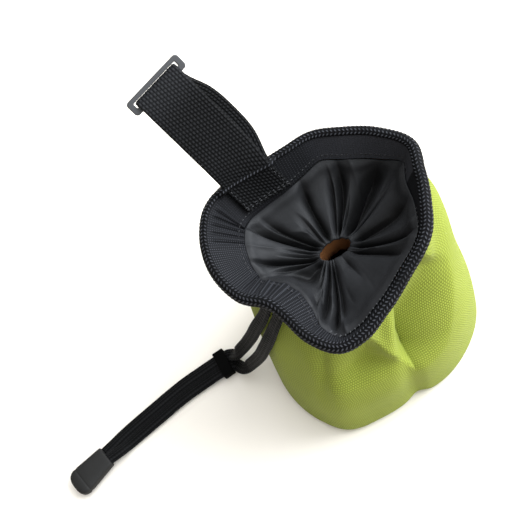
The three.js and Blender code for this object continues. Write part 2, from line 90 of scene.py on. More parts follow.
# Lines of the wall's sharp fold: their angle at FOLD_HEIGHT, and its change with height
FOLD_START, FOLD_VALLEY, FOLD_RIDGE = (320.5, 1.03), (287.0, 0.41), (270.8, -0.5)
FOLD_HEIGHT, FOLD_DEPTH, RIDGE_DROP = 55.0, 12.5, 7.5
FOLD_TIP = {"angle": 334.6, "height": 65.7, "slant": 0.65}

# Puckers of the band's inner leg: where they begin and end, from one to the next, height
PUCKERS = table("low high step height", (139, 160, 4.6, 0.6), (190, 210, 5.2, 0.7), (222, 234, 5.0, 0.4))

# Pleats of the throat: direction, depth of the valley, half width, and the share of the way where it begins
PLEATS = table(
    "angle depth width start",
    (12, 3, 5, 0.4), (33, 8.5, 9, 0), (48, 3.5, 4, 0.45), (60, 6.5, 5, 0), (68, 4, 4, 0.1), (92, 5.5, 5, 0),
    (110, 3, 4, 0.5), (123, 5, 5, 0.1), (136, 7, 7.5, 0), (157, 3, 4, 0.55), (168, 3, 4, 0.5),
    (179, 6, 6, 0.05), (190, 4, 4.5, 0.25), (204, 4.5, 6, 0.25), (217, 3, 4, 0.5), (230, 5.5, 5.5, 0.1),
    (240, 5, 4.5, 0), (248, 3.5, 4, 0.15), (276, 2.5, 5, 0.7), (304, 4, 5, 0.1), (324, 5, 5, 0.05),
    (350, 6.5, 9, 0.05),
)

# Free stretch of the strap: distance up from the slide's bar, offset to the front, offset to the side
STRAP_ROUTE = table(
    "up front aside",
    (-44, 5, 0), (-30, 4.6, 0), (-15, 3.8, 0), (-5, 2.9, 0), (0, 2.6, 0), (2.3, 1.9, 0), (3.2, 0, 0),
    (2.3, -1.9, 0), (0, -2.6, 0), (-6, -4.8, 1.5), (-18, -10.5, 6), (-33, -13.5, 7.5), (-46, -11.5, 6.5),
)

# Middle of each strand of the pull cord, from under the rim to the cord end
STRAND_A = np.array((
    (-35.2, -3.2, 86), (-37.9, -3.1, 81.5), (-40.8, -2.7, 76.8), (-44.4, -1.1, 71), (-48.2, 1.2, 63.5),
    (-52.2, 4.4, 54), (-55.8, 8, 45), (-60.2, 12, 35), (-65, 16.2, 25), (-69.6, 20.8, 14.4),
    (-72.6, 24.8, 7.4), (-74.6, 27.7, 3.8), (-77.2, 29.2, 2.6), (-81, 29.3, 2.4), (-86.8, 29.1, 2.2),
    (-96.3, 28.7, 1.4), (-106.5, 27.8, 1.2), (-115.7, 26.2, 1.2), (-124.8, 24.3, 1.2), (-132.8, 22.6, 1.2),
    (-141.7, 20.7, 1.2), (-149.7, 18.7, 1.3), (-155.4, 16.8, 1.6), (-162.4, 14.6, 2),
))
STRAND_B = np.array((
    (-32.6, -10.8, 86), (-35.4, -10.6, 81.5), (-38.2, -10.2, 76.8), (-41, -9.4, 71.5), (-44, -8.4, 66),
    (-47.2, -6.9, 59.5), (-50.4, -4.9, 52.5), (-53.8, -2.1, 44), (-57.2, 1.1, 36), (-61, 4.5, 28),
    (-65, 8.2, 19.8), (-68.8, 11.9, 12), (-71.4, 15.4, 7), (-73, 18.6, 4.4), (-74.4, 21, 3.2),
    (-76.8, 22.35, 2.6), (-80.2, 22.2, 2.4), (-86.2, 22.1, 2.2), (-95.7, 21.7, 1.4), (-105.5, 20.8, 1.2),
    (-114.3, 19.4, 1.2), (-123.2, 17.5, 1.2), (-131.2, 15.8, 1.2), (-140.2, 13.9, 1.2), (-148.3, 12.1, 1.4),
    (-153.8, 10.4, 3), (-160.2, 9.1, 4),
))

# Sizes that the solids share
WALL_CLOTH, WEBBING = 1.2, 1.5
SEAM_HEIGHT, BASE_CORNER, BASE_CLOTH = 5.0, 4.5, 1.5
WALL_SEAM = 100.0
NECK_DEPTH, NECK_PULL, BELLY_PULL = 13.0, 6.0, 62.0
INNER_LEG, OUTER_LEG = 21.0, 10.0
SLOT_HALF = WALL_CLOTH / 2 + 0.6
BAND_HALF = SLOT_HALF + WEBBING
THROAT = {"x": 4.5, "y": 9.0, "z": 79.0, "long": 8.0, "wide": 4.8}
STRAP_WIDTH, STRAP_ANGLE, STRAP_CLEAR, STRAP_SKEW = 25.0, 117.0, 0.8, 0.25
STRAP_INSIDE, STRAP_OUTSIDE = (17.0, 9.5, 1.7), (4.5, 13.0)
SLIDE_BAR, SLIDE_TURN = np.array((-27.0, 83.0, 152.0)), 13.0
SLIDE = {"near": 2.6, "slot": 2.8, "long": 26.6, "far": 2.2, "post": 2.8, "thick": 2.4, "corner": 3.0}
CORD_WIDTH, CORD_THICK = 6.4, 1.7
KEEPER = {"at": (-80.6, 25.7, 2.65), "turn": 4.0, "long": 6.5, "wide": 16.6, "high": 5.2, "wall": 0.8}
CORD_END = {"at": (-161.9, 11.6, 0.3), "turn": 18.0, "broad": 16.8, "high": 6.0}

# Along the binding's face: where its smooth edge ends, and where its ribbed inside begins after the braid
SMOOTH_EDGE, RIBBED_FACE = (4.4, 5.2), (15.2, 16.0)
# Height of the braid's rows in pitches, and how far the braid is lifted over the strap
BRAID_ROW, BRAID_LIFT = 0.9, 3.0
# Length of the strap's knots in pitches, and their shift from row to row
STRAP_KNOT, STRAP_STAGGER = 1.3, 0.35
# Seams on the strap's sewn end: depth under the crest and place across it, at each end
PATCH_SEAMS = (
    ((15.6, -11.3), (15.6, 11.3)), ((14.4, -11.3), (14.4, 11.3)),
    ((4, -10.8), (15, -10.8)), ((4, 10.8), (15, 10.8)),
)
# The throat's thin cloth: its sag, how many soft creases, the direction where they are weak, and of a pocket
LINING_THICK, THROAT_SAG, CREASES, FULL_FOLD, POCKET = 0.5, 2.0, 48, 279.0, 203.0
# A strand's cross ribs, where its plait ends, and what fills the gap to the other strand
CORD_RIB, CORD_TAIL, CORD_FILL = 1.7, (92, 102), 0.56
# How far a strand goes on at its ends: up to the rim, then further up and into the wall; into the cord end
TO_RIM, UP_WALL, INTO_WALL, INTO_END = 3.2, 1.8, 2.6, 1.5
# The floor's half width and how far it lies under the pouch, in metres
FLOOR_HALF, FLOOR_DROP = 12.0, 0.0004


# Shapes


def unit(v):
    return v / np.maximum(np.linalg.norm(v, axis=-1, keepdims=True), 1e-12)


def along_with(a, b):
    return (a * b).sum(-1, keepdims=True)


def smooth(value, low, high):
    share = np.clip((value - low) / (high - low), 0, 1)
    return share * share * (3 - 2 * share)


def between(value, rise, fall):
    """0 before the rise and after the fall, 1 between them."""
    return smooth(value, *rise) * (1 - smooth(value, *fall))


def heading(degrees):
    turn = math.radians(degrees)
    return np.array((math.cos(turn), math.sin(turn), 0.0))


def oval(count, wide, high, power_x, power_y):
    """A blunt oval, as places across it and up it. Lower powers make it squarer."""
    turn = np.linspace(0, 2 * np.pi, count, endpoint=False)
    x = np.sign(np.cos(turn)) * np.abs(np.cos(turn)) ** power_x * wide / 2
    y = np.sign(np.sin(turn)) * np.abs(np.sin(turn)) ** power_y * high / 2
    return x, y


def turn_off(angle, axis):
    """How far an angle is from an axis, from -180 to 180 degrees."""
    return np.mod(angle - axis + 180, 360) - 180


def cubic(t, start, leave, end, arrive):
    """A curve from start to end, with its slope at each."""
    return (
        (2 * t**3 - 3 * t**2 + 1) * start + (t**3 - 2 * t**2 + t) * leave
        + (3 * t**2 - 2 * t**3) * end + (t**3 - t**2) * arrive
    )


def around(rows, column, angle):
    """A column of a table at any angle, by a smooth closed curve through its rows."""
    at = np.concatenate([rows["angle"][-2:] - 360, rows["angle"], rows["angle"][:3] + 360])
    value = np.concatenate([rows[column][-2:], rows[column], rows[column][:3]])
    turn = np.mod(angle, 360)
    i = np.searchsorted(at, turn, side="right") - 1
    slope = (value[2:] - value[:-2]) / (at[2:] - at[:-2])
    span = at[i + 1] - at[i]
    return cubic((turn - at[i]) / span, value[i], slope[i - 1] * span, value[i + 1], slope[i] * span)


def polar(centre, radius, angle, z):
    turn = np.radians(angle)
    x = centre[0] + radius * np.cos(turn)
    y = centre[1] + radius * np.sin(turn)
    return np.stack(np.broadcast_arrays(x, y, z), -1).astype(float)


def crest(angle):
    return polar(MOUTH_CENTRE, around(MOUTH, "radius", angle), angle, around(MOUTH, "height", angle))


def rim_frame(angle):
    """The rim's crest, and the directions along the rim, down the band and out of it."""
    span = 2.0
    along = unit(crest(angle + span) - crest(angle - span))
    away = unit(np.stack([along[..., 1], -along[..., 0], np.zeros_like(along[..., 0])], -1))
    lean = np.radians(around(MOUTH, "lean", angle))[..., None]
    down = -away * np.sin(lean) - UP * np.cos(lean)
    down = unit(down - along * along_with(down, along))
    return {"crest": crest(angle), "along": along, "down": down, "out": np.cross(down, along)}


def on_rim(rim, depth, outward):
    depth, outward = np.asarray(depth, float)[..., None], np.asarray(outward, float)[..., None]
    return rim["crest"] + rim["down"] * depth + rim["out"] * outward


def dent_push(angle, height):
    push = np.zeros(np.broadcast(angle, height).shape)
    for at, z, wide, tall, slant, depth in zip(*DENTS.values()):
        off = turn_off(angle, at + slant * (height - z))
        push += depth * np.exp(-((off / wide) ** 2) - ((height - z) / tall) ** 2)
    return push


def fold_push(angle, height):
    """A hollow that falls from its start to a valley, rises to a ridge, and drops again past it."""
    turn = np.mod(angle, 360)
    lines = (FOLD_START, FOLD_VALLEY, FOLD_RIDGE)
    start, valley, ridge = (at + slope * (height - FOLD_HEIGHT) for at, slope in lines)
    fall = np.clip((start - turn) / np.maximum(start - valley, 1), 0, 1) ** 1.15
    rise = np.clip((turn - ridge) / np.maximum(valley - ridge, 1), 0, 1)
    top = FOLD_TIP["height"] + FOLD_TIP["slant"] * np.clip(FOLD_TIP["angle"] - turn, 0, 25)
    hollow = np.where(turn > valley, fall, rise) * between(height, (35, 45), (top - 2, top + 5))
    past = np.maximum(ridge - turn, 0)
    drop = (1 - np.exp(-past / 9)) * (1 - smooth(past, 25, 55)) * between(height, (43, 53), (70, 88))
    return -FOLD_DEPTH * hollow - RIDGE_DROP * drop


def wall_middle(angle, share):
    """The middle of the wall's cloth, from the seam over the belly to the neck."""
    radius = around(BASE, "radius", angle) - WALL_CLOTH / 2
    belly = radius + around(BASE, "swell", angle)
    rim = rim_frame(angle)
    s = share[..., None]
    point = (
        (1 - s) ** 3 * polar((0, 0), radius, angle, SEAM_HEIGHT)
        + 3 * (1 - s) ** 2 * s * polar((0, 0), belly, angle, SEAM_HEIGHT + BELLY_PULL)
        + 3 * (1 - s) * s**2 * on_rim(rim, NECK_DEPTH + NECK_PULL, 0)
        + s**3 * on_rim(rim, NECK_DEPTH, 0)
    )
    fade = 1 - np.abs(2 * share - 1) ** 4
    push = fade * (dent_push(angle, point[..., 2]) + fold_push(angle, point[..., 2]))
    return point + polar((0, 0), push, angle, 0)


def grid_normals(points, closed):
    """Normals of a grid of points whose first direction goes round if closed."""
    if closed:
        first = np.roll(points, -1, 0) - np.roll(points, 1, 0)
    else:
        first = np.gradient(points, axis=0)
    return unit(np.cross(first, np.gradient(points, axis=1)))


def through(points, steps):
    """A smooth line through points, with as many steps between each two."""
    points = np.asarray(points, float)
    ends = np.concatenate([[2 * points[0] - points[1]], points, [2 * points[-1] - points[-2]]])
    gaps = np.maximum(np.linalg.norm(np.diff(ends, axis=0), axis=1), 1e-6) ** 0.5
    t = np.linspace(0, 1, steps, endpoint=False)[:, None]
    line = []
    for i in range(1, len(ends) - 2):
        p0, p1, p2, p3 = ends[i - 1:i + 3]
        g0, g1, g2 = gaps[i - 1:i + 2]
        m1 = ((p1 - p0) / g0 - (p2 - p0) / (g0 + g1) + (p2 - p1) / g1) * g1
        m2 = ((p2 - p1) / g1 - (p3 - p1) / (g1 + g2) + (p3 - p2) / g2) * g1
        line.append(cubic(t, p1, m1, p2, m2))
    return np.concatenate([*line, points[-1:]])


def run_length(points):
    return np.concatenate([[0], np.cumsum(np.linalg.norm(np.diff(points, axis=0), axis=1))])


def even(points, step):
    """Points a step apart along a line."""
    run = run_length(points)
    count = max(2, round(run[-1] / step) + 1)
    at = np.linspace(0, run[-1], count)
    return np.stack([np.interp(at, run, points[:, i]) for i in range(3)], -1)


# Meshes


def grid_piece(name, points, uv, materials, wrap=(True, True), caps=False, inner=None):
    """A mesh object from a grid of points in millimetres, joined round where wrap says so.

    The columns that inner gives, from one to before another, have the second material.
    """
    m, n = points.shape[:2]
    i, j = np.meshgrid(np.arange(m - (not wrap[0])), np.arange(n - (not wrap[1])), indexing="ij")
    k, l = (i + 1) % m, (j + 1) % n
    quads = np.stack([i * n + j, k * n + j, k * n + l, i * n + l], -1).reshape(-1, 4)
    corners = np.stack([uv[i, j], uv[i + 1, j], uv[i + 1, j + 1], uv[i, j + 1]], -2).reshape(-1, 2)
    faces = quads.tolist()
    if caps:
        faces += [list(range(n)), list(range(m * n - 1, (m - 1) * n - 1, -1))]
        corners = np.concatenate([corners, uv[0, :n], uv[m - 1, n - 1::-1][:n]])
    mesh = bpy.data.meshes.new(name)
    mesh.from_pydata((points.reshape(-1, 3) * MM).tolist(), [], faces)
    mesh.uv_layers.new(name=UV_NAME).data.foreach_set("uv", corners.reshape(-1))
    for material in materials:
        mesh.materials.append(material)
    if inner:
        slots = np.zeros(len(faces), int)
        slots[:len(quads)] = ((j >= inner[0]) & (j < inner[1])).reshape(-1)
        mesh.polygons.foreach_set("material_index", slots)
    mesh.shade_smooth()
    mesh.validate()
    return add_object(name, mesh)


def add_object(name, mesh):
    piece = bpy.data.objects.new(name, mesh)
    bpy.context.scene.collection.objects.link(piece)
    return piece


def dress(piece, slot, *nodes):
    """Puts a finished piece on the frame, in place of its nodes."""
    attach(piece, BODY)
    if nodes:
        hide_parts(*nodes)
    return piece


def grid_uv(u, v):
    """Pattern coordinates in millimetres for a grid: one number for each row and each column."""
    return np.stack(np.meshgrid(u, v, indexing="ij"), -1)


def closed_run(points):
    """Distance round a closed line, with its whole length as the last number."""
    return run_length(np.concatenate([points, points[:1]]))


def knots(u, v, along, across, stagger=0.5):
    """The raised places of a weave, staggered row by row: 1 on a knot, 0 between."""
    y = v / across
    x = u / along + stagger * np.floor(y)
    return np.cos(np.pi * (np.mod(x, 1) - 0.5)) * np.cos(np.pi * (np.mod(y, 1) - 0.5))


def braid(u, v, along, across):
    """Rows of slanted strands whose slant turns round from row to row: 1 on a strand, 0 between."""
    y = v / across
    off = np.mod(y, 1) - 0.5
    slant = 4 * np.mod(np.floor(y) / 2, 1) - 1
    return (0.5 + 0.5 * np.cos(2 * np.pi * (u / along + 0.6 * slant * off))) * np.cos(np.pi * off)


# Finishes


def new_node(tree, kind, settings=None, sockets=None):
    """A node of a tree, with its settings, and its inputs set or linked."""
    made = tree.nodes.new(kind)
    for name, value in (settings or {}).items():
        setattr(made, name, value)
    for key, value in (sockets or {}).items():
        if isinstance(value, bpy.types.NodeSocket):
            tree.links.new(value, made.inputs[key])
        else:
            made.inputs[key].default_value = value
    return made


class Signal:
    """A shader value. Arithmetic on it adds Math nodes."""

    def __init__(self, finish, socket):
        self.finish = finish
        self.socket = socket

    def math(self, operation, *others):
        return self.finish.maths(operation, self, *others)

    def __add__(self, other):
        return self.math("ADD", other)

    def __sub__(self, other):
        return self.math("SUBTRACT", other)

    def __rsub__(self, other):
        return self.finish.maths("SUBTRACT", other, self)

    def __mul__(self, other):
        return self.math("MULTIPLY", other)

    def __truediv__(self, other):
        return self.math("DIVIDE", other)

    __radd__ = __add__
    __rmul__ = __mul__

    def sine(self):
        return self.math("SINE")

    def cosine(self):
        return self.math("COSINE")

    def part(self):
        return self.math("FRACT")

    def whole(self):
        return self.math("FLOOR")

    def smooth(self, low, high):
        ends = {"Value": self, "From Min": low, "From Max": high}
        return self.finish.node("ShaderNodeMapRange", {"interpolation_type": "SMOOTHSTEP"}, ends)

    def between(self, rise, fall):
        return self.smooth(*rise) * (1 - self.smooth(*fall))

    def wave(self, length):
        return (self * (2 * math.pi / length)).sine()


class Finish:
    """A material. Its nodes come from one method, and what is the same all over is set on the shader."""

    def __init__(self, name, constants):
        self.material = bpy.data.materials.new(name)
        self.material.use_nodes = True
        self.tree = self.material.node_tree
        self.shader = self.tree.nodes["Principled BSDF"]
        for socket, value in constants.items():
            self.shader.inputs[socket].default_value = value

    def node(self, kind, settings=None, sockets=None, output=0):
        given = {key: getattr(value, "socket", value) for key, value in (sockets or {}).items()}
        return Signal(self, new_node(self.tree, kind, settings, given).outputs[output])

    def maths(self, operation, *values):
        return self.node("ShaderNodeMath", {"operation": operation}, dict(enumerate(values)))

    def blend(self, factor, first, second):
        return self.node("ShaderNodeMix", {"data_type": "RGBA"}, {0: factor, 6: first, 7: second}, output=2)

    def along_cloth(self):
        """The piece's own pattern coordinates, in millimetres."""
        uv = self.node("ShaderNodeUVMap", {"uv_map": UV_NAME})
        return [self.node("ShaderNodeSeparateXYZ", None, {0: uv}, output=i) for i in (0, 1)]

    def noise(self, scale, detail=2.0, stretch=None):
        place = self.node("ShaderNodeTexCoord", output=3)
        if stretch:
            place = self.node("ShaderNodeMapping", None, {"Vector": place, "Scale": stretch})
        sockets = {"Vector": place, "Scale": scale, "Detail": detail}
        return self.node("ShaderNodeTexNoise", {"noise_dimensions": "3D"}, sockets)

    def knots(self, u, v, along, across, stagger=0.5):
        y = v / across
        x = u / along + y.whole() * stagger
        return ((x.part() - 0.5) * math.pi).cosine() * ((y.part() - 0.5) * math.pi).cosine()

    def braid(self, u, v, along, across):
        y = v / across
        off = y.part() - 0.5
        slant = (y.whole() / 2).part() * 4 - 1
        strand = ((u / along + slant * off * 0.6) * (2 * math.pi)).cosine() * 0.5 + 0.5
        return strand * (off * math.pi).cosine()

    def close(self, colour, roughness, height=None, depth=0.0):
        """Links what changes over the surface: colour, roughness and a relief in metres."""
        for name, value in (("Base Color", colour), ("Roughness", roughness)):
            self.tree.links.new(value.socket, self.shader.inputs[name])
        if height:
            bump = self.node("ShaderNodeBump", None, {"Strength": 1.0, "Distance": depth, "Height": height})
            self.tree.links.new(bump.socket, self.shader.inputs["Normal"])
        return self.material


def shade(colour, factor):
    """A colour made darker or lighter."""
    return tuple(c * factor for c in colour[:3]) + (1.0,)


def cloth_shine(sheen, spread, shine):
    """What is the same all over a cloth: its sheen, how far that spreads, and its gloss."""
    return {"Sheen Weight": sheen, "Sheen Roughness": spread, "Specular IOR Level": shine}


def lime_finish(colour, pitch):
    cloth = Finish("lime_cloth", cloth_shine(0.05, 0.5, 0.12))
    u, v = cloth.along_cloth()
    weave = cloth.knots(u, v, pitch, pitch)
    thread = cloth.blend(weave.smooth(0.05, 0.75), shade(colour, 0.66), shade(colour, 1.1))
    patches = cloth.noise(38.0, 3.0)
    tone = cloth.blend(patches.smooth(0.35, 0.7) * 0.12, thread, shade(colour, 1.4))
    roughness = 0.82 - weave * 0.12 + patches * 0.06
    return cloth.close(tone, roughness, weave + cloth.noise(900.0) * 0.3, 0.00018)


def canvas_finish(colour):
    cloth = Finish("inner_canvas", {"Specular IOR Level": 0.2})
    u, v = cloth.along_cloth()
    weave = cloth.knots(u, v, 0.9, 0.9)
    thread = cloth.blend(weave, shade(colour, 0.6), shade(colour, 1.1))
    return cloth.close(thread, 0.9 - weave * 0.05, weave, 0.0002)


def rim_finish(colour, pitch):
    """Binding with a braid over the crest, a smooth edge outside and a ribbed face inside; part of the inside
    has painted fill light and the braid a partly painted highlight.
    """
    band = Finish("rim_webbing", cloth_shine(0.01, 0.4, 0.08))
    u, v = band.along_cloth()
    inside, outside = v.smooth(*RIBBED_FACE), 1 - v.smooth(*SMOOTH_EDGE)
    strands = band.braid(u, v, pitch, BRAID_ROW * pitch).smooth(0.3, 0.85) * (1 - inside) * (1 - outside)
    weave = u.wave(1.35) * 0.62 + v.wave(1.05) * 0.38
    ribs = weave.smooth(0.3, 0.85) * inside
    # The ribs show lighter between 115 and 250 mm round the rim, and faintly elsewhere.
    rib_side = 0.25 + u.between((115, 150), (215, 250)) * 0.75
    # Painted fill light: the inner face is painted far lighter for its first 52 to 74 mm round the rim, where
    # it faces away from the window; past that it has its own dark colour.
    lining = band.blend(u.smooth(52, 74), shade(colour, 12.0), shade(colour, 2.2))
    woven = band.blend(inside, shade(colour, 0.5), lining)
    dark = band.blend(outside, woven, (0.007, 0.0095, 0.016, 1.0))
    tone = band.noise(90.0).smooth(0.2, 0.6) * 0.6 + 0.4
    # The braid's strands are painted lighter than the gaps between them: partly their own lighter thread,
    # partly a painted highlight.
    braid_and_highlight = band.blend(strands * tone, dark, shade(colour, 14.0))
    face = band.blend(ribs * rib_side, braid_and_highlight, shade(colour, 16.0))
    roughness = 0.6 - strands * 0.16 + band.noise(160.0) * 0.1
    return band.close(face, roughness, strands + ribs * 0.6 + band.noise(1500.0) * 0.15, 0.0004)


def strap_finish(colour, pitch, bend):
    """Webbing with a painted highlight where it bends round the slide."""
    tape = Finish("strap_webbing", cloth_shine(0.01, 0.4, 0.1))
    u, v = tape.along_cloth()
    weave = tape.knots(u, v, STRAP_KNOT * pitch, pitch, STRAP_STAGGER)
    fibres = u.wave(0.32) * 0.5 + 0.5
    thread = tape.blend(weave.smooth(0.3, 0.9), shade(colour, 0.4), shade(colour, 2.1))
    tone = tape.blend(tape.noise(70.0).smooth(0.4, 0.75) * 0.2, thread, shade(colour, 2.2))
    # Painted highlight: the webbing is painted paler where it bends round the slide, on top of pale patches
    # at random.
    bend_highlight = u.between((bend - 22, bend - 4), (bend + 6, bend + 16))
    tone = tape.blend(bend_highlight * (weave * 0.5 + 0.5) * 0.55, tone, shade(colour, 7.0))
    roughness = 0.62 - weave * 0.14 + tape.noise(220.0) * 0.08
    return tape.close(tone, roughness, weave + fibres * 0.12, 0.00035)


def satin_finish(colour):
    """Shiny cloth, with painted shade down in its folds."""
    satin = Finish("lining_satin", cloth_shine(0.02, 0.35, 0.22))
    u, v = satin.along_cloth()
    fold_shading = satin.node("ShaderNodeAttribute", {"attribute_name": FOLD_SHADING_NAME}, output=2)
    grid = satin.knots(u, v, 0.45, 0.45)
    creases = satin.noise(60.0, 3.0)
    # The cloth is lighter where the creases' relief rises and darker in its dips: partly tone at random,
    # partly painted shade in the creases.
    cloth = satin.blend(creases.smooth(0.3, 0.75) * 0.6, shade(colour, 0.8), shade(colour, 1.5))
    # Painted shade: the cloth is painted five times darker down in its folds.
    base = satin.blend(fold_shading, shade(colour, 0.2), cloth)
    roughness = 0.48 + creases * 0.14 - grid * 0.04
    return satin.close(base, roughness, creases + grid * 0.05, 0.0006)


def cord_finish(colour):
    """Flat cord, plaited where it hangs and drawn into lengthwise lines on its tail, with painted shadow that
    darkens it where it hangs.
    """
    cord = Finish("cord_weave", cloth_shine(0.01, 0.4, 0.08))
    u, v = cord.along_cloth()
    lines, picks = v.wave(1.3) * 0.5 + 0.5, u.wave(CORD_RIB) * 0.5 + 0.5
    tail = u.smooth(*CORD_TAIL)
    plait = cord.braid(u, v, 2.3, 2.3).smooth(0.35, 0.75) * (1 - tail)
    ribbed = (picks * 0.3 + lines * 0.7).smooth(0.4, 0.95) * tail
    # Painted shadow: where it hangs, the cord is painted four times darker than on its tail.
    woven = cord.blend(tail, shade(colour, 0.15), shade(colour, 0.6))
    thread = cord.blend(plait * 0.7 + ribbed, woven, shade(colour, 3.6))
    roughness = 0.6 - lines * 0.12 + cord.noise(240.0) * 0.08
    return cord.close(thread, roughness, plait * 2 + (lines + picks * 0.5) * tail, 0.00025)


def plastic_finish(name, colour, gloss, shine=0.3):
    plastic = Finish(name, {"Specular IOR Level": shine})
    cloud = plastic.noise(55.0, 3.0)
    grain = plastic.noise(2600.0, 1.0)
    base = plastic.blend(cloud.smooth(0.3, 0.7) * 0.5, shade(colour, 0.85), shade(colour, 1.35))
    return plastic.close(base, gloss + cloud * 0.14 + grain * 0.06, grain, 0.00006)


def thread_finish(name, colour):
    thread = Finish(name, {"Sheen Weight": 0.2, "Specular IOR Level": 0.4})
    twist = (thread.noise(1100.0, 1.0, (1.0, 1.0, 0.3)) * 6.0).sine() * 0.5 + 0.5
    base = thread.blend(twist, shade(colour, 0.6), shade(colour, 1.5))
    return thread.close(base, 0.65 - twist * 0.1, twist, 0.00008)


def floor_finish(colour):
    floor = Finish("pale_floor", {"Specular IOR Level": 0.2})
    cloud = floor.noise(3.0, 3.0)
    base = floor.blend(cloud * 0.4, shade(colour, 0.985), shade(colour, 1.0))
    return floor.close(base, 0.7 + cloud * 0.1)


# Sewn stitches and loops, set along a line on the cloth


def stitch_tree():
    """Instances a small rounded stitch along the line of an object, facing out of the cloth."""
    tree = bpy.data.node_groups.new("stitch_run", "GeometryNodeTree")
    face = tree.interface
    face.new_socket("Geometry", in_out="INPUT", socket_type="NodeSocketGeometry")
    for name in ("Spacing", "Along", "Across", "Height"):
        face.new_socket(name, in_out="INPUT", socket_type="NodeSocketFloat")
    face.new_socket("Material", in_out="INPUT", socket_type="NodeSocketMaterial")
    face.new_socket("Geometry", in_out="OUTPUT", socket_type="NodeSocketGeometry")

    def node(kind, settings=None, sockets=None):
        return new_node(tree, kind, settings, sockets).outputs

    given = node("NodeGroupInput")
    line = node("GeometryNodeMeshToCurve", None, {"Mesh": given["Geometry"]})
    steps = {"Curve": line[0], "Length": given["Spacing"]}
    spaced = node("GeometryNodeResampleCurve", {"mode": "LENGTH"}, steps)
    bead = node("GeometryNodeMeshUVSphere", None, {"Segments": 8, "Rings": 5, "Radius": 0.5})
    facing = node("GeometryNodeInputNamedAttribute", {"data_type": "FLOAT_VECTOR"}, {"Name": "facing"})
    tangent = node("GeometryNodeInputTangent")
    first = node("FunctionNodeAlignRotationToVector", {"axis": "X"}, {"Vector": tangent[0]})
    second = node(
        "FunctionNodeAlignRotationToVector", {"axis": "Z", "pivot_axis": "X"},
        {"Rotation": first[0], "Vector": facing[0]},
    )
    size = node("ShaderNodeCombineXYZ", None, {0: given["Along"], 1: given["Across"], 2: given["Height"]})
    beads = {"Points": spaced[0], "Instance": bead["Mesh"], "Rotation": second[0], "Scale": size[0]}
    placed = node("GeometryNodeInstanceOnPoints", None, beads)
    real = node("GeometryNodeRealizeInstances", None, {0: placed[0]})
    painted = node("GeometryNodeSetMaterial", None, {"Geometry": real[0], "Material": given["Material"]})
    new_node(tree, "NodeGroupOutput", None, {0: painted[0]})
    return tree


def stitch_run(name, lines, settings, slot):
    """A row of stitches along lines in millimetres: each is points, facings and whether it is closed."""
    tree = bpy.data.node_groups.get("stitch_run") or stitch_tree()
    points = np.concatenate([line[0] for line in lines])
    facings = np.concatenate([line[1] for line in lines])
    edges, start = [], 0
    for line, _, closed in lines:
        count = len(line)
        edges += [(start + i, start + (i + 1) % count) for i in range(count if closed else count - 1)]
        start += count
    mesh = bpy.data.meshes.new(name + "_line")
    mesh.from_pydata((points * MM).tolist(), edges, [])
    mesh.attributes.new("facing", "FLOAT_VECTOR", "POINT").data.foreach_set("vector", facings.reshape(-1))
    guide = add_object(name + "_line", mesh)
    modifier = guide.modifiers.new("stitches", "NODES")
    modifier.node_group = tree
    for item in tree.interface.items_tree:
        if item.item_type == "SOCKET" and item.in_out == "INPUT" and item.name in settings:
            modifier[item.identifier] = settings[item.name]
    ready = guide.evaluated_get(bpy.context.evaluated_depsgraph_get())
    stitches = bpy.data.meshes.new_from_object(ready)
    stitches.name = name
    bpy.data.objects.remove(guide)
    stitches.shade_smooth()
    if not stitches.polygons:
        raise RuntimeError(f"{name}: no stitches were made")
    return dress(add_object(name, stitches), slot)


# Pieces


def make_wall(finishes):
    angle = WALL_SEAM + np.linspace(0, 360, 420, endpoint=False)[:, None]
    corner = np.radians(np.linspace(18, 84, 7))[None, :]
    radius = around(BASE, "radius", angle) - WALL_CLOTH / 2
    low = polar(
        (0, 0), radius - BASE_CORNER + BASE_CORNER * np.sin(corner), angle,
        WALL_CLOTH / 2 + (BASE_CORNER - WALL_CLOTH / 2) * (1 - np.cos(corner)) + 0.1,
    )
    share = np.linspace(0, 1, 84)[None, :]
    rim = rim_frame(angle)
    neck = [on_rim(rim, depth, 0) for depth in (10.5, 8, 5, 2.4)]
    middle = np.concatenate([low, wall_middle(angle, share + 0 * angle), *neck], axis=1)
    out = grid_normals(middle, True)
    skin = np.concatenate([middle + out * WALL_CLOTH / 2, (middle - out * WALL_CLOTH / 2)[:, ::-1]], axis=1)
    rows = middle.shape[1]
    u = np.stack([closed_run(ring) for ring in middle.swapaxes(0, 1)], 1)
    v = np.stack([run_length(line) for line in (*middle, middle[0])])
    uv = np.stack([u - u[len(angle) // 2], v], -1)
    uv = np.concatenate([uv, uv[:, ::-1], uv[:, :1]], axis=1)
    inner = (rows, 2 * rows)
    wall = grid_piece("wall_cloth", skin, uv, [finishes["lime"], finishes["canvas"]], inner=inner)
    return dress(wall, "lime_cloth", "body_wall")


def make_base(finishes):
    angle = np.linspace(0, 360, 180, endpoint=False)[:, None]
    radius = around(BASE, "radius", angle) - BASE_CORNER + 0.9
    share = np.concatenate([np.linspace(0.001, 0.95, 22), (0.985, 1.0)])[None, :]
    under = polar((0, 0), radius * share, angle, 0.05 + 0 * share)
    over = polar((0, 0), radius * share, angle, 0.05 + BASE_CLOTH + 0 * share)
    skin = np.concatenate([under, over[:, ::-1]], axis=1)
    uv = np.pad(skin, ((0, 1), (0, 1), (0, 0)), mode="wrap")[..., :2]
    inner = (share.size, skin.shape[1])
    base = grid_piece("base_cloth", skin, uv, [finishes["lime"], finishes["canvas"]], inner=inner)
    return dress(base, "lime_cloth", "base_cup")


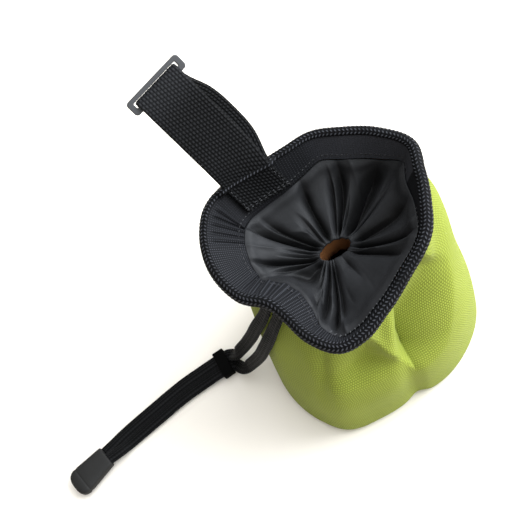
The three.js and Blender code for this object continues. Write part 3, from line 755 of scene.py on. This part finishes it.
def band_profile():
    """The band's cross section: depth and outward place of each point, and the distance along its face."""
    turn = np.radians(np.linspace(0, 180, 17))
    face = np.concatenate([
        np.stack([np.linspace(OUTER_LEG, BAND_HALF, 14)[:-1], np.full(13, BAND_HALF)], -1),
        np.stack([BAND_HALF * (1 - np.sin(turn)), BAND_HALF * np.cos(turn)], -1),
        np.stack([np.linspace(BAND_HALF, INNER_LEG, 34)[1:], np.full(33, -BAND_HALF)], -1),
    ])
    slot = np.array((
        (INNER_LEG + 0.35, -BAND_HALF + 0.4), (INNER_LEG + 0.35, -SLOT_HALF - 0.4), (INNER_LEG, -SLOT_HALF),
        (12, -SLOT_HALF), (1.85, -SLOT_HALF), (1.85, SLOT_HALF), (6, SLOT_HALF), (OUTER_LEG, SLOT_HALF),
        (OUTER_LEG + 0.35, SLOT_HALF + 0.4), (OUTER_LEG + 0.35, BAND_HALF - 0.4),
    ))
    whole = np.concatenate([face, slot])
    v = closed_run(np.pad(whole, ((0, 0), (0, 1))))
    return whole, v, len(face)


def make_rim(sizes, finishes):
    profile, v, face = band_profile()
    angle = np.linspace(0, 360, 720, endpoint=False)[:, None]
    rim = rim_frame(angle)
    reach = (around(MOUTH, "inner", angle) - BAND_HALF) / (INNER_LEG - BAND_HALF)
    inside = (profile[:, 1] < 0) & (profile[:, 0] > BAND_HALF)
    depth = np.where(inside, BAND_HALF + (profile[:, 0] - BAND_HALF) * reach, profile[:, 0])
    points = on_rim(rim, depth, profile[None, :, 1])
    round_run = closed_run(crest(angle[:, 0]))
    pitch = sizes.rim_pitch / MM
    u = round_run / round_run[-1] * round(round_run[-1] / pitch) * pitch
    covered = between(v[:face], SMOOTH_EDGE, RIBBED_FACE)
    raised = braid(u[:-1, None], v[None, :face], pitch, BRAID_ROW * pitch) * covered
    out = grid_normals(points[:, :face], True)
    points[:, :face] += out * (0.25 * raised + 0.2 * covered - 0.1)[..., None]
    leg_share = smooth(v[:face], 16, 20)
    puckers = np.zeros_like(angle)
    for low, high, step, height in zip(*PUCKERS.values()):
        waves = height * np.sin(2 * np.pi * angle / step)
        puckers += waves * between(angle, (low - 4, low), (high, high + 4))
    points[:, :face] -= rim["out"] * (puckers * leg_share)[..., None]
    over_strap = 1 - smooth(np.abs(turn_off(angle, STRAP_ANGLE)), 14, 19)
    lifted = over_strap * between(v[:face], (9.5, 12.0), (15.4, 17.0))
    points[:, :face] -= rim["out"] * BRAID_LIFT * lifted[..., None]
    uv = grid_uv(u, v)
    leg = np.flatnonzero(inside[:face])
    uv[:, leg, 1] = v[leg[0] - 1] + (v[leg] - v[leg[0] - 1]) * np.concatenate([reach, reach[:1]])
    band = grid_piece("rim_webbing", points, uv, [finishes["rim"]])
    return dress(band, "rim_webbing", "rim_band")


def lining_folds(angle, share):
    """How far pleats and soft creases take the gathered cloth down."""
    random = np.random.default_rng(7)
    pleats = np.zeros(np.broadcast(angle, share).shape)
    for at, depth, width, start in zip(*PLEATS.values()):
        middle = at + random.uniform(-4, 4) * np.sin(np.pi * share)
        off = turn_off(angle, middle) / (width * (0.75 + 0.6 * share**2))
        reach = smooth(share, 0.55 * start - 0.05, start + 0.27) * (1 - 0.8 * smooth(share, 0.82, 1.0))
        pleats = np.maximum(pleats, depth * reach * np.exp(-np.abs(off) ** 1.15))
    soft = np.zeros_like(pleats)
    for _ in range(CREASES):
        at, place, lean = random.uniform(0, 360), random.uniform(0.1, 0.8), random.uniform(-40, 40)
        wide, long, depth = random.uniform(1.7, 6.5), random.uniform(0.13, 0.32), random.uniform(-1.5, 1.5)
        off = turn_off(angle, at + lean * (share - place)) / wide
        soft += depth * np.exp(-np.abs(off) ** 1.4 - ((share - place) / long) ** 2)
    calm = smooth(np.abs(turn_off(angle, FULL_FOLD)), 12, 24)
    pocket = 2.6 * np.exp(-((turn_off(angle, POCKET) / 8) ** 2) - ((share - 0.5) / 0.15) ** 2)
    return pleats, soft * (0.3 + 0.7 * calm) + pocket


def lining_edge(angle):
    """Depth and outward place of the lining's outer edge on the band, which it laps over in front."""
    lap = smooth(angle, 236, 262) + 1 - smooth(angle, 4, 20)
    return around(MOUTH, "inner", angle) + 0.5 - 3.6 * lap, -(SLOT_HALF + WEBBING / 2) - 1.1 * lap


def make_throat(finishes):
    angle = np.linspace(0, 360, 600, endpoint=False)[:, None]
    share = np.concatenate([np.linspace(0, 0.12, 8)[:-1], np.linspace(0.12, 1, 56)])[None, :]
    rim = rim_frame(angle)
    edge = on_rim(rim, *lining_edge(angle))
    turn = np.radians(angle)
    slit = np.stack(np.broadcast_arrays(
        THROAT["x"] + THROAT["long"] * np.cos(turn), THROAT["y"] + THROAT["wide"] * np.sin(turn), THROAT["z"],
    ), -1)
    s = share[..., None]
    top = edge * (1 - s) + slit * s
    pleats, soft = lining_folds(angle, share)
    top[..., 2] -= pleats + soft + THROAT_SAG * np.sin(np.pi * share)
    puff = 0.9 * np.exp(-(((share - 0.08) / 0.07) ** 2)) * (1 - smooth(pleats, 0.2, 2))
    top += (-rim["out"] * 0.9 - rim["down"] * 0.5) * puff[..., None]
    hem = [top[:, -1:] - UP * fall for fall in (1.0, 3.0, 6.0, 9.0, 12.0)]
    skin = np.concatenate([top, *hem], axis=1)
    under = skin - UP * LINING_THICK
    outward = unit((slit - (THROAT["x"], THROAT["y"], THROAT["z"])) * (1, 1, 0))
    under[:, share.size:] += outward * LINING_THICK
    points = np.concatenate([skin, under[:, ::-1]], axis=1)[::-1]
    run = run_length(skin[0])
    v = np.concatenate([run, run[-1] + 1 + run, [2 * run[-1] + 2]])
    u = np.linspace(0, 260.0, len(angle) + 1)
    turned_under = 12
    inner = (share.size, points.shape[1] - turned_under)
    lining = grid_piece(
        "throat_cloth", points, grid_uv(u, v), [finishes["satin"], finishes["canvas"]], inner=inner,
    )
    # Painted shade in the folds: 1 on the open cloth, falling towards 0 as pleats and creases deepen.
    fold_shading = np.ones(points.shape[:2])
    fold_shading[:, :share.size] = (1 - smooth(pleats + soft, 0.4, 3.6))[::-1]
    lining.data.attributes.new(FOLD_SHADING_NAME, "FLOAT", "POINT").data.foreach_set("value", fold_shading.reshape(-1))
    dress(lining, "lining_satin", "throat_lining")
    width = np.mean([closed_run(line)[-1] for line in skin.swapaxes(0, 1)])
    return lining


def press_to_rim(points, outward):
    """Moves points along the band's outward direction until they lie at a distance from the band's middle."""
    angle = np.linspace(STRAP_ANGLE - 30, STRAP_ANGLE + 30, 241)
    rim = rim_frame(angle)
    for i, point in enumerate(points):
        off = point - rim["crest"]
        k = np.abs((off * rim["along"]).sum(-1)).argmin()
        points[i] += rim["out"][k] * (outward - off[k] @ rim["out"][k])
    return points


def strap_frame():
    """Where the strap crosses the rim, and the directions of its slide: side, up and front."""
    foot = {key: value[0] for key, value in rim_frame(np.array([STRAP_ANGLE])).items()}
    rise = unit(SLIDE_BAR - foot["crest"])
    side = heading(SLIDE_TURN)
    side = unit(side - rise * (side @ rise))
    return foot, side, rise, np.cross(side, rise)


def on_strap_end(depth, across, outward):
    """Points on a sewn end of the strap: depth under the crest, place across it, distance out of the band."""
    foot = strap_frame()[0]
    depth, across = (np.asarray(value, float)[..., None] for value in (depth, across))
    down, aside = foot["down"] * depth, foot["along"] * (across + STRAP_SKEW * depth)
    return press_to_rim(foot["crest"] + down + foot["out"] * outward - aside, outward)


def strap_rail(rail):
    """The line that one part of the strap's width follows: -1 at one edge, 1 at the other."""
    _, side, rise, front = strap_frame()
    clear = BAND_HALF + STRAP_CLEAR + WEBBING / 2
    across = rail * STRAP_WIDTH / 2
    free = [
        SLIDE_BAR + rise * up + front * forward + side * (aside + across)
        for up, forward, aside in zip(*STRAP_ROUTE.values())
    ]
    return np.concatenate([
        on_strap_end(STRAP_INSIDE, across, -clear), free, on_strap_end(STRAP_OUTSIDE, across, clear),
    ])


def strap_bend():
    """How far along the strap it bends round the slide."""
    line = through(strap_rail(0.0), 24)
    return run_length(line)[((line - SLIDE_BAR) @ strap_frame()[2]).argmax()]


def make_strap(sizes, finishes):
    rails = np.linspace(-1, 1, 53)
    lines = np.stack([through(strap_rail(rail), 24) for rail in rails], 1)
    run = run_length(lines[:, 26])
    at = np.arange(0, run[-1], 0.42)
    middle = np.stack([
        np.stack([np.interp(at, run, lines[:, k, i]) for i in range(3)], -1) for k in range(len(rails))
    ], 1)
    out = grid_normals(middle, False)
    across = rails * STRAP_WIDTH / 2
    pitch = sizes.strap_pitch / MM
    v = across + STRAP_WIDTH / 2
    relief = knots(at[:, None], v[None, :], STRAP_KNOT * pitch, pitch, STRAP_STAGGER)
    edge = 1 - smooth(np.abs(across), STRAP_WIDTH / 2 - 0.9, STRAP_WIDTH / 2)
    thick = (WEBBING / 2 - 0.12) * (0.35 + 0.65 * edge)[None, :] + 0.16 * relief * edge[None, :]
    front, back = middle + out * thick[..., None], middle - out * thick[..., None]
    points = np.concatenate([front, back[:, ::-1]], axis=1)
    uv = grid_uv(at, np.concatenate([v, v[::-1], v[:1]]))
    strap = grid_piece("belt_webbing", points, uv, [finishes["strap"]], wrap=(False, True), caps=True)
    return dress(strap, "strap_webbing", "belt_strap")


def rounded_loop(half, low, high, corner, count=6):
    """A rounded rectangle, as points that go round from its lower right corner."""
    points = []
    turns = ((1, -1, 270), (1, 1, 0), (-1, 1, 90), (-1, -1, 180))
    for x, y, start in turns:
        middle = (x * (half - corner), (high - corner) if y > 0 else (low + corner))
        for turn in np.radians(start + np.linspace(0, 90, count)):
            points.append((middle[0] + corner * math.cos(turn), middle[1] + corner * math.sin(turn)))
    return np.array(points)


def ring_plate(name, outer, inner, thick, place, material, bevel):
    """A flat plate with a hole: two loops with as many points, given a thickness and rounded edges."""
    n = len(outer)
    levels = [(outer, -thick / 2), (outer, thick / 2), (inner, thick / 2), (inner, -thick / 2)]
    points = np.concatenate([np.column_stack([loop, np.full(n, z)]) for loop, z in levels])
    points = points @ np.array(place[:3]) + np.array(place[3])
    faces = []
    for ring in range(4):
        a, b = ring * n, (ring + 1) % 4 * n
        faces += [(a + i, a + (i + 1) % n, b + (i + 1) % n, b + i) for i in range(n)]
    mesh = bpy.data.meshes.new(name)
    mesh.from_pydata((points * MM).tolist(), [], faces)
    mesh.materials.append(material)
    mesh.shade_smooth()
    plate = add_object(name, mesh)
    soften = plate.modifiers.new("edges", "BEVEL")
    soften.width = bevel * MM
    soften.segments = 3
    soften.limit_method = "ANGLE"
    soften.angle_limit = math.radians(50)
    soften.harden_normals = True
    return plate


def make_slide(finishes):
    _, side, rise, front = strap_frame()
    low, slot = SLIDE["near"] / 2, SLIDE["near"] / 2 + SLIDE["slot"]
    outer = rounded_loop(SLIDE["long"] / 2 + SLIDE["post"], -low, slot + SLIDE["far"], SLIDE["corner"] * 0.6)
    inner = rounded_loop(SLIDE["long"] / 2, low, slot, 0.6)
    place = (side, rise, front, SLIDE_BAR)
    plate = ring_plate("slide_frame", outer, inner, SLIDE["thick"], place, finishes["slide"], 0.5)
    return dress(plate, "slide_plastic", "strap_slide")


def cord_frames(line, hidden):
    """The side and the flat face of a cord along its line: off the wall, forward, then up from the floor.

    The first points, as many as hidden says, keep the side of the point after them.
    """
    along = unit(np.gradient(line, axis=0))
    hang, floor = 1 - smooth(line[:, 2:], 60, 78), 1 - smooth(line[:, 2:], 6, 28)
    facing = np.array((-1, -0.15, 0.2)) * (1 - hang) + np.array((-0.87, -0.45, 0.2)) * hang
    side = unit(np.cross(along, facing * (1 - floor) + UP * floor))
    side[:hidden] = side[hidden]
    return side, np.cross(side, along)


def make_strand(name, route, node, finishes):
    """A strand from the wall's cloth, which it leaves close under the rim, into the cord end."""
    rise = unit(route[0] - route[1])
    inward = -unit(route[0] * (1, 1, 0))
    inward = unit(inward - rise * (inward @ rise))
    under_rim = route[0] + rise * TO_RIM
    into_wall = under_rim + rise * UP_WALL + inward * INTO_WALL
    into_end = route[-1] + unit(route[-1] - route[-2]) * INTO_END
    line = even(through([into_wall, under_rim, *route, into_end], 40), 0.27)
    hidden = np.linalg.norm(line - under_rim, axis=1).argmin()
    side, face = cord_frames(line, hidden)
    x, y = oval(28, CORD_WIDTH + CORD_FILL, CORD_THICK, 0.5, 0.7)
    run = run_length(line)
    ribs = 0.95 + 0.05 * np.cos(2 * np.pi * run / CORD_RIB)
    points = line[:, None] + side[:, None] * x[:, None] + face[:, None] * np.outer(ribs, y)[..., None]
    uv = grid_uv(run, closed_run(np.stack([x, y, 0 * x], -1)))
    strand = grid_piece(name, points[:, ::-1], uv, [finishes["cord"]], wrap=(False, True), caps=True)
    dress(strand, "cord_weave", node)
    return strand, even(line[hidden:], 2.0) * MM, (run[-1] - run[hidden]) * MM


def make_keeper(finishes):
    along = heading(KEEPER["turn"])
    wide, high, wall = KEEPER["wide"] / 2, KEEPER["high"] / 2, KEEPER["wall"]
    outer = rounded_loop(wide, -high, high, 1.6)
    inner = rounded_loop(wide - wall, wall - high, high - wall, 0.8)
    place = (np.cross(UP, along), UP, along, KEEPER["at"])
    keeper = ring_plate("cord_sleeve", outer, inner, KEEPER["long"], place, finishes["sleeve"], 0.45)
    return dress(keeper, "cord_plastic", "cord_keeper")


def make_cord_end(finishes):
    """A moulded end: rounded sections that widen from the entry, with a groove before the round end."""
    sections = table(
        "at wide high",
        (0, 0.72, 0.66), (0.25, 0.8, 0.78), (0.8, 0.8, 0.86), (3, 0.82, 0.92), (8, 0.87, 0.97), (14, 0.95, 1),
        (17.4, 0.99, 1), (17.7, 0.955, 0.93), (18.2, 0.955, 0.93), (18.5, 1, 1), (20.2, 0.99, 0.98),
        (22, 0.9, 0.9), (23.3, 0.74, 0.76), (24.1, 0.5, 0.55), (24.45, 0.25, 0.3),
    )
    away = -heading(CORD_END["turn"])
    across = np.cross(away, UP)
    middle = np.array(CORD_END["at"]) + UP * CORD_END["high"] / 2
    x, z = oval(40, CORD_END["broad"], CORD_END["high"], 0.55, 0.6)
    points = np.array([
        middle + away * at + across * (x * wide)[:, None] + UP * (z * high)[:, None]
        for at, wide, high in zip(*sections.values())
    ])
    uv = grid_uv(sections["at"], closed_run(np.stack([x, z, 0 * x], -1)))
    end = grid_piece("cord_end_cap", points, uv, [finishes["fitting"]], wrap=(False, True), caps=True)
    soften = end.modifiers.new("round", "SUBSURF")
    soften.levels = soften.render_levels = 1
    return dress(end, "cord_plastic", "cord_end")


def rim_line(start, end, depth, outward, facing):
    """A line on the band from one angle to another, a depth under the crest, with the way it faces."""
    angle = np.linspace(start, end, 300)
    rim = rim_frame(angle)
    return on_rim(rim, depth(angle), outward), rim["out"] * facing, False


def make_stitches(sizes, finishes):
    step = sizes.stitch_spacing
    plain = {"Spacing": step, "Along": step * 0.62, "Across": 0.0005, "Height": 0.0004}
    inner = rim_line(5, 228, lambda angle: around(MOUTH, "inner", angle) - 2.6, -BAND_HALF - 0.02, -1)
    outer = rim_line(0, 360, lambda angle: OUTER_LEG - 3.0 + 0 * angle, BAND_HALF + 0.05, 1)
    stitch_run("rim_stitches", [inner, outer], {**plain, "Material": finishes["thread"]}, "rim_webbing")
    loops = {"Spacing": 0.0024, "Along": 0.0006, "Across": 0.003, "Height": 0.0005}
    seam = rim_line(238, 338, lambda angle: lining_edge(angle)[0] - 0.3, -BAND_HALF - 0.6, -1)
    stitch_run("binding_loops", [seam], {**loops, "Material": finishes["loops"]}, "rim_webbing")
    angle = np.linspace(0, 360, 300, endpoint=False)
    radius = around(BASE, "radius", angle) - BASE_CORNER - 2.2
    seam = polar((0, 0), radius, angle, 0.08), np.tile(-UP, (300, 1)), True
    stitch_run("base_stitches", [seam], {**plain, "Material": finishes["green_thread"]}, "lime_cloth")
    stitch_run("patch_stitches", patch_lines(), {**plain, "Material": finishes["thread"]}, "strap_webbing")


def patch_lines():
    """The seams on the strap's end inside the rim."""
    clear = -(BAND_HALF + STRAP_CLEAR + WEBBING + 0.12)
    facing = -strap_frame()[0]["out"]
    lines = []
    for ends in PATCH_SEAMS:
        depth, across, _ = even(np.pad(np.array(ends, float), ((0, 0), (0, 1))), 0.8).T
        lines.append((on_strap_end(depth, across, clear), np.tile(facing, (len(depth), 1)), False))
    return lines


# Stage


def make_camera(lens):
    data = bpy.data.cameras.new("photo_camera")
    data.sensor_width = 36.0
    data.lens = lens
    data.clip_start = 0.01
    camera = bpy.data.objects.new("photo_camera", data)
    bpy.context.scene.collection.objects.link(camera)
    right = (0.86111, -0.38866, -0.32777)
    up = (0.50274, 0.74703, 0.43497)
    back = (0.0758, -0.53934, 0.83867)
    place = Matrix((right, up, back)).transposed().to_4x4()
    place.translation = (0.002976, -0.207066, 0.443673)
    camera.matrix_world = place
    bpy.context.scene.camera = camera


def add_light(name, place, aim, size, watts, colour):
    data = bpy.data.lights.new(name, "AREA")
    data.size = size
    data.energy = watts
    data.color = colour
    light = bpy.data.objects.new(name, data)
    bpy.context.scene.collection.objects.link(light)
    back = unit(np.array(place) - np.array(aim))
    right = unit(np.cross(UP, back))
    turn = Matrix((right, np.cross(back, right), back)).transposed().to_4x4()
    turn.translation = place
    light.matrix_world = turn


def make_stage(finishes):
    sides = ((-1, -1), (1, -1), (1, 1), (-1, 1))
    corners = [(x * FLOOR_HALF, y * FLOOR_HALF, -FLOOR_DROP) for x, y in sides]
    mesh = bpy.data.meshes.new("pale_floor")
    mesh.from_pydata(corners, [], [(0, 1, 2, 3)])
    mesh.materials.append(finishes["floor"])
    add_object("pale_floor", mesh)
    add_light("window_light", (0.97, -0.02, 0.68), (0, 0, 0.05), 0.9, 24.0, (0.93, 0.98, 1.05))
    make_room()
    bpy.context.scene.view_settings.view_transform = "Standard"


def make_room():
    """Light from all round: bright and cool from above and from the window's side, dim and warm opposite."""
    window, warm, cool = (0.66, 0.04, 0.74), (1.0, 0.76, 0.5, 1.0), (0.93, 0.97, 1.0, 1.0)
    world = bpy.data.worlds.new("room")
    world.use_nodes = True
    tree = world.node_tree
    place = new_node(tree, "ShaderNodeTexCoord").outputs["Generated"]
    toward = new_node(tree, "ShaderNodeVectorMath", {"operation": "DOT_PRODUCT"}, {0: place, 1: window})
    ends = {0: toward.outputs["Value"], "From Min": 0.0, "From Max": 0.95, "To Min": 0.12, "To Max": 2.4}
    level = new_node(tree, "ShaderNodeMapRange", None, ends).outputs[0]
    tint = new_node(tree, "ShaderNodeMix", {"data_type": "RGBA"}, {0: level, 6: warm, 7: cool}).outputs[2]
    for name, value in (("Color", tint), ("Strength", level)):
        tree.links.new(value, tree.nodes["Background"].inputs[name])
    bpy.context.scene.world = world


# Add-on


def colour_property(name, description, default):
    return bpy.props.FloatVectorProperty(
        name=name, description=description, default=default, size=4, min=0.0, max=1.0, subtype="COLOR",
    )


def length_property(name, description, default):
    return bpy.props.FloatProperty(
        name=name, description=description, default=default, min=0.0001, precision=5, unit="LENGTH",
    )


class PouchSizes(bpy.types.PropertyGroup):
    cloth_pitch: length_property("Cloth weave", "Distance between the threads of the lime cloth", 0.0012)
    rim_pitch: length_property("Rim weave", "Distance between the knots of the rim's binding", 0.0019)
    strap_pitch: length_property("Strap weave", "Distance between the knots of the belt strap", 0.00155)
    stitch_spacing: length_property("Stitch spacing", "Distance from one stitch to the next", 0.0023)
    lens: bpy.props.FloatProperty(
        name="Lens", description="Focal length in millimetres", default=63.28, min=10.0,
    )


class PouchColours(bpy.types.PropertyGroup):
    lime: colour_property("Lime cloth", "Colour of the body's cloth", (0.24, 0.282, 0.038, 1.0))
    canvas: colour_property("Inside", "Colour of the cloth inside the pouch", (0.25, 0.1, 0.03, 1.0))
    rim: colour_property("Rim", "Colour of the rim's webbing", (0.0034, 0.0035, 0.004, 1.0))
    satin: colour_property("Lining", "Colour of the gathered lining", (0.0152, 0.0156, 0.017, 1.0))
    strap: colour_property("Strap", "Colour of the belt strap", (0.0036, 0.0037, 0.0041, 1.0))
    cord: colour_property("Cord", "Colour of the pull cord", (0.003, 0.003, 0.0032, 1.0))
    slide: colour_property("Slide", "Colour of the strap's slide", (0.05, 0.051, 0.054, 1.0))
    fitting: colour_property(
        "Cord fittings", "Colour of the cord's sleeve and end", (0.0122, 0.0118, 0.0112, 1.0),
    )
    thread: colour_property("Thread", "Colour of the dark sewing thread", (0.0095, 0.0095, 0.011, 1.0))
    floor: colour_property("Floor", "Colour of the floor", (0.95, 0.885, 0.8, 1.0))


FINISHES = {}


def all_finishes():
    """The materials of the pouch and its floor, made once."""
    if not FINISHES:
        sizes, colours = bpy.context.scene.pouch_sizes, bpy.context.scene.pouch_colours
        FINISHES.update(
            lime=lime_finish(colours.lime, sizes.cloth_pitch / MM),
            canvas=canvas_finish(colours.canvas),
            rim=rim_finish(colours.rim, sizes.rim_pitch / MM),
            satin=satin_finish(colours.satin),
            strap=strap_finish(colours.strap, sizes.strap_pitch / MM, strap_bend()),
            cord=cord_finish(colours.cord),
            slide=plastic_finish("slide_plastic", colours.slide, 0.34),
            fitting=plastic_finish("fitting_plastic", colours.fitting, 0.5),
            # Painted shadow: the sleeve is painted a tenth as light as the cord end.
            sleeve=plastic_finish("sleeve_plastic_painted_shadow", shade(colours.fitting, 0.1), 0.6, 0.04),
            thread=thread_finish("dark_thread", colours.thread),
            loops=thread_finish("loop_thread", shade(colours.thread, 2.2)),
            green_thread=thread_finish("green_thread", shade(colours.lime, 0.8)),
            floor=floor_finish(colours.floor),
        )
    return FINISHES


class PouchOperator:
    bl_options = {"REGISTER", "UNDO"}

    def execute(self, context):
        self.make(context.scene.pouch_sizes, all_finishes())
        return {"FINISHED"}


class POUCH_OT_stage(PouchOperator, bpy.types.Operator):
    """Add the camera, the floor and the lights"""
    bl_idname = "pouch.stage"
    bl_label = "Stage"

    def make(self, sizes, finishes):
        make_camera(sizes.lens)
        make_stage(finishes)


class POUCH_OT_cord(PouchOperator, bpy.types.Operator):
    """Add the pull cord's two strands, its sleeve and its end"""
    bl_idname = "pouch.cord"
    bl_label = "Pull cord"

    def make(self, sizes, finishes):
        sleeve = make_keeper(finishes)
        end = make_cord_end(finishes)
        strands = (("strand_a", STRAND_A, "cord_strand_a"), ("strand_b", STRAND_B, "cord_strand_b"))
        for name, route, node in strands:
            strand, path, length = make_strand(name, route, node, finishes)


class POUCH_OT_body(PouchOperator, bpy.types.Operator):
    """Add the wall and the base of lime cloth"""
    bl_idname = "pouch.body"
    bl_label = "Body"

    def make(self, sizes, finishes):
        make_wall(finishes)
        make_base(finishes)


class POUCH_OT_rim(PouchOperator, bpy.types.Operator):
    """Add the webbing band round the mouth"""
    bl_idname = "pouch.rim"
    bl_label = "Rim"

    def make(self, sizes, finishes):
        make_rim(sizes, finishes)


class POUCH_OT_throat(PouchOperator, bpy.types.Operator):
    """Add the gathered lining"""
    bl_idname = "pouch.throat"
    bl_label = "Throat"

    def make(self, sizes, finishes):
        make_throat(finishes)


class POUCH_OT_strap(PouchOperator, bpy.types.Operator):
    """Add the belt strap and its slide"""
    bl_idname = "pouch.strap"
    bl_label = "Belt strap"

    def make(self, sizes, finishes):
        make_strap(sizes, finishes)
        make_slide(finishes)


class POUCH_OT_stitches(PouchOperator, bpy.types.Operator):
    """Add the stitches on the rim, the strap and the base"""
    bl_idname = "pouch.stitches"
    bl_label = "Stitches"

    def make(self, sizes, finishes):
        make_stitches(sizes, finishes)


OPERATORS = (
    POUCH_OT_stage, POUCH_OT_cord, POUCH_OT_body, POUCH_OT_rim, POUCH_OT_throat, POUCH_OT_strap,
    POUCH_OT_stitches,
)


class POUCH_PT_panel(bpy.types.Panel):
    """Lists the pouch's sizes, colours and pieces"""
    bl_label = "Treat pouch"
    bl_idname = "POUCH_PT_panel"
    bl_space_type = "VIEW_3D"
    bl_region_type = "UI"
    bl_category = "Pouch"

    def draw(self, context):
        for operator in OPERATORS:
            self.layout.operator(operator.bl_idname)
        for group in (context.scene.pouch_sizes, context.scene.pouch_colours):
            box = self.layout.box()
            for name in group.__annotations__:
                box.prop(group, name)


CLASSES = (PouchSizes, PouchColours, *OPERATORS, POUCH_PT_panel)


def register():
    for cls in CLASSES:
        bpy.utils.register_class(cls)
    bpy.types.Scene.pouch_sizes = bpy.props.PointerProperty(type=PouchSizes)
    bpy.types.Scene.pouch_colours = bpy.props.PointerProperty(type=PouchColours)


def unregister():
    del bpy.types.Scene.pouch_colours
    del bpy.types.Scene.pouch_sizes
    for cls in reversed(CLASSES):
        bpy.utils.unregister_class(cls)


def main():
    register()
    for step in ("stage", "cord", "body", "rim", "throat", "strap", "stitches"):
        getattr(bpy.ops.pouch, step)()


if __name__ == "__main__":
    main()
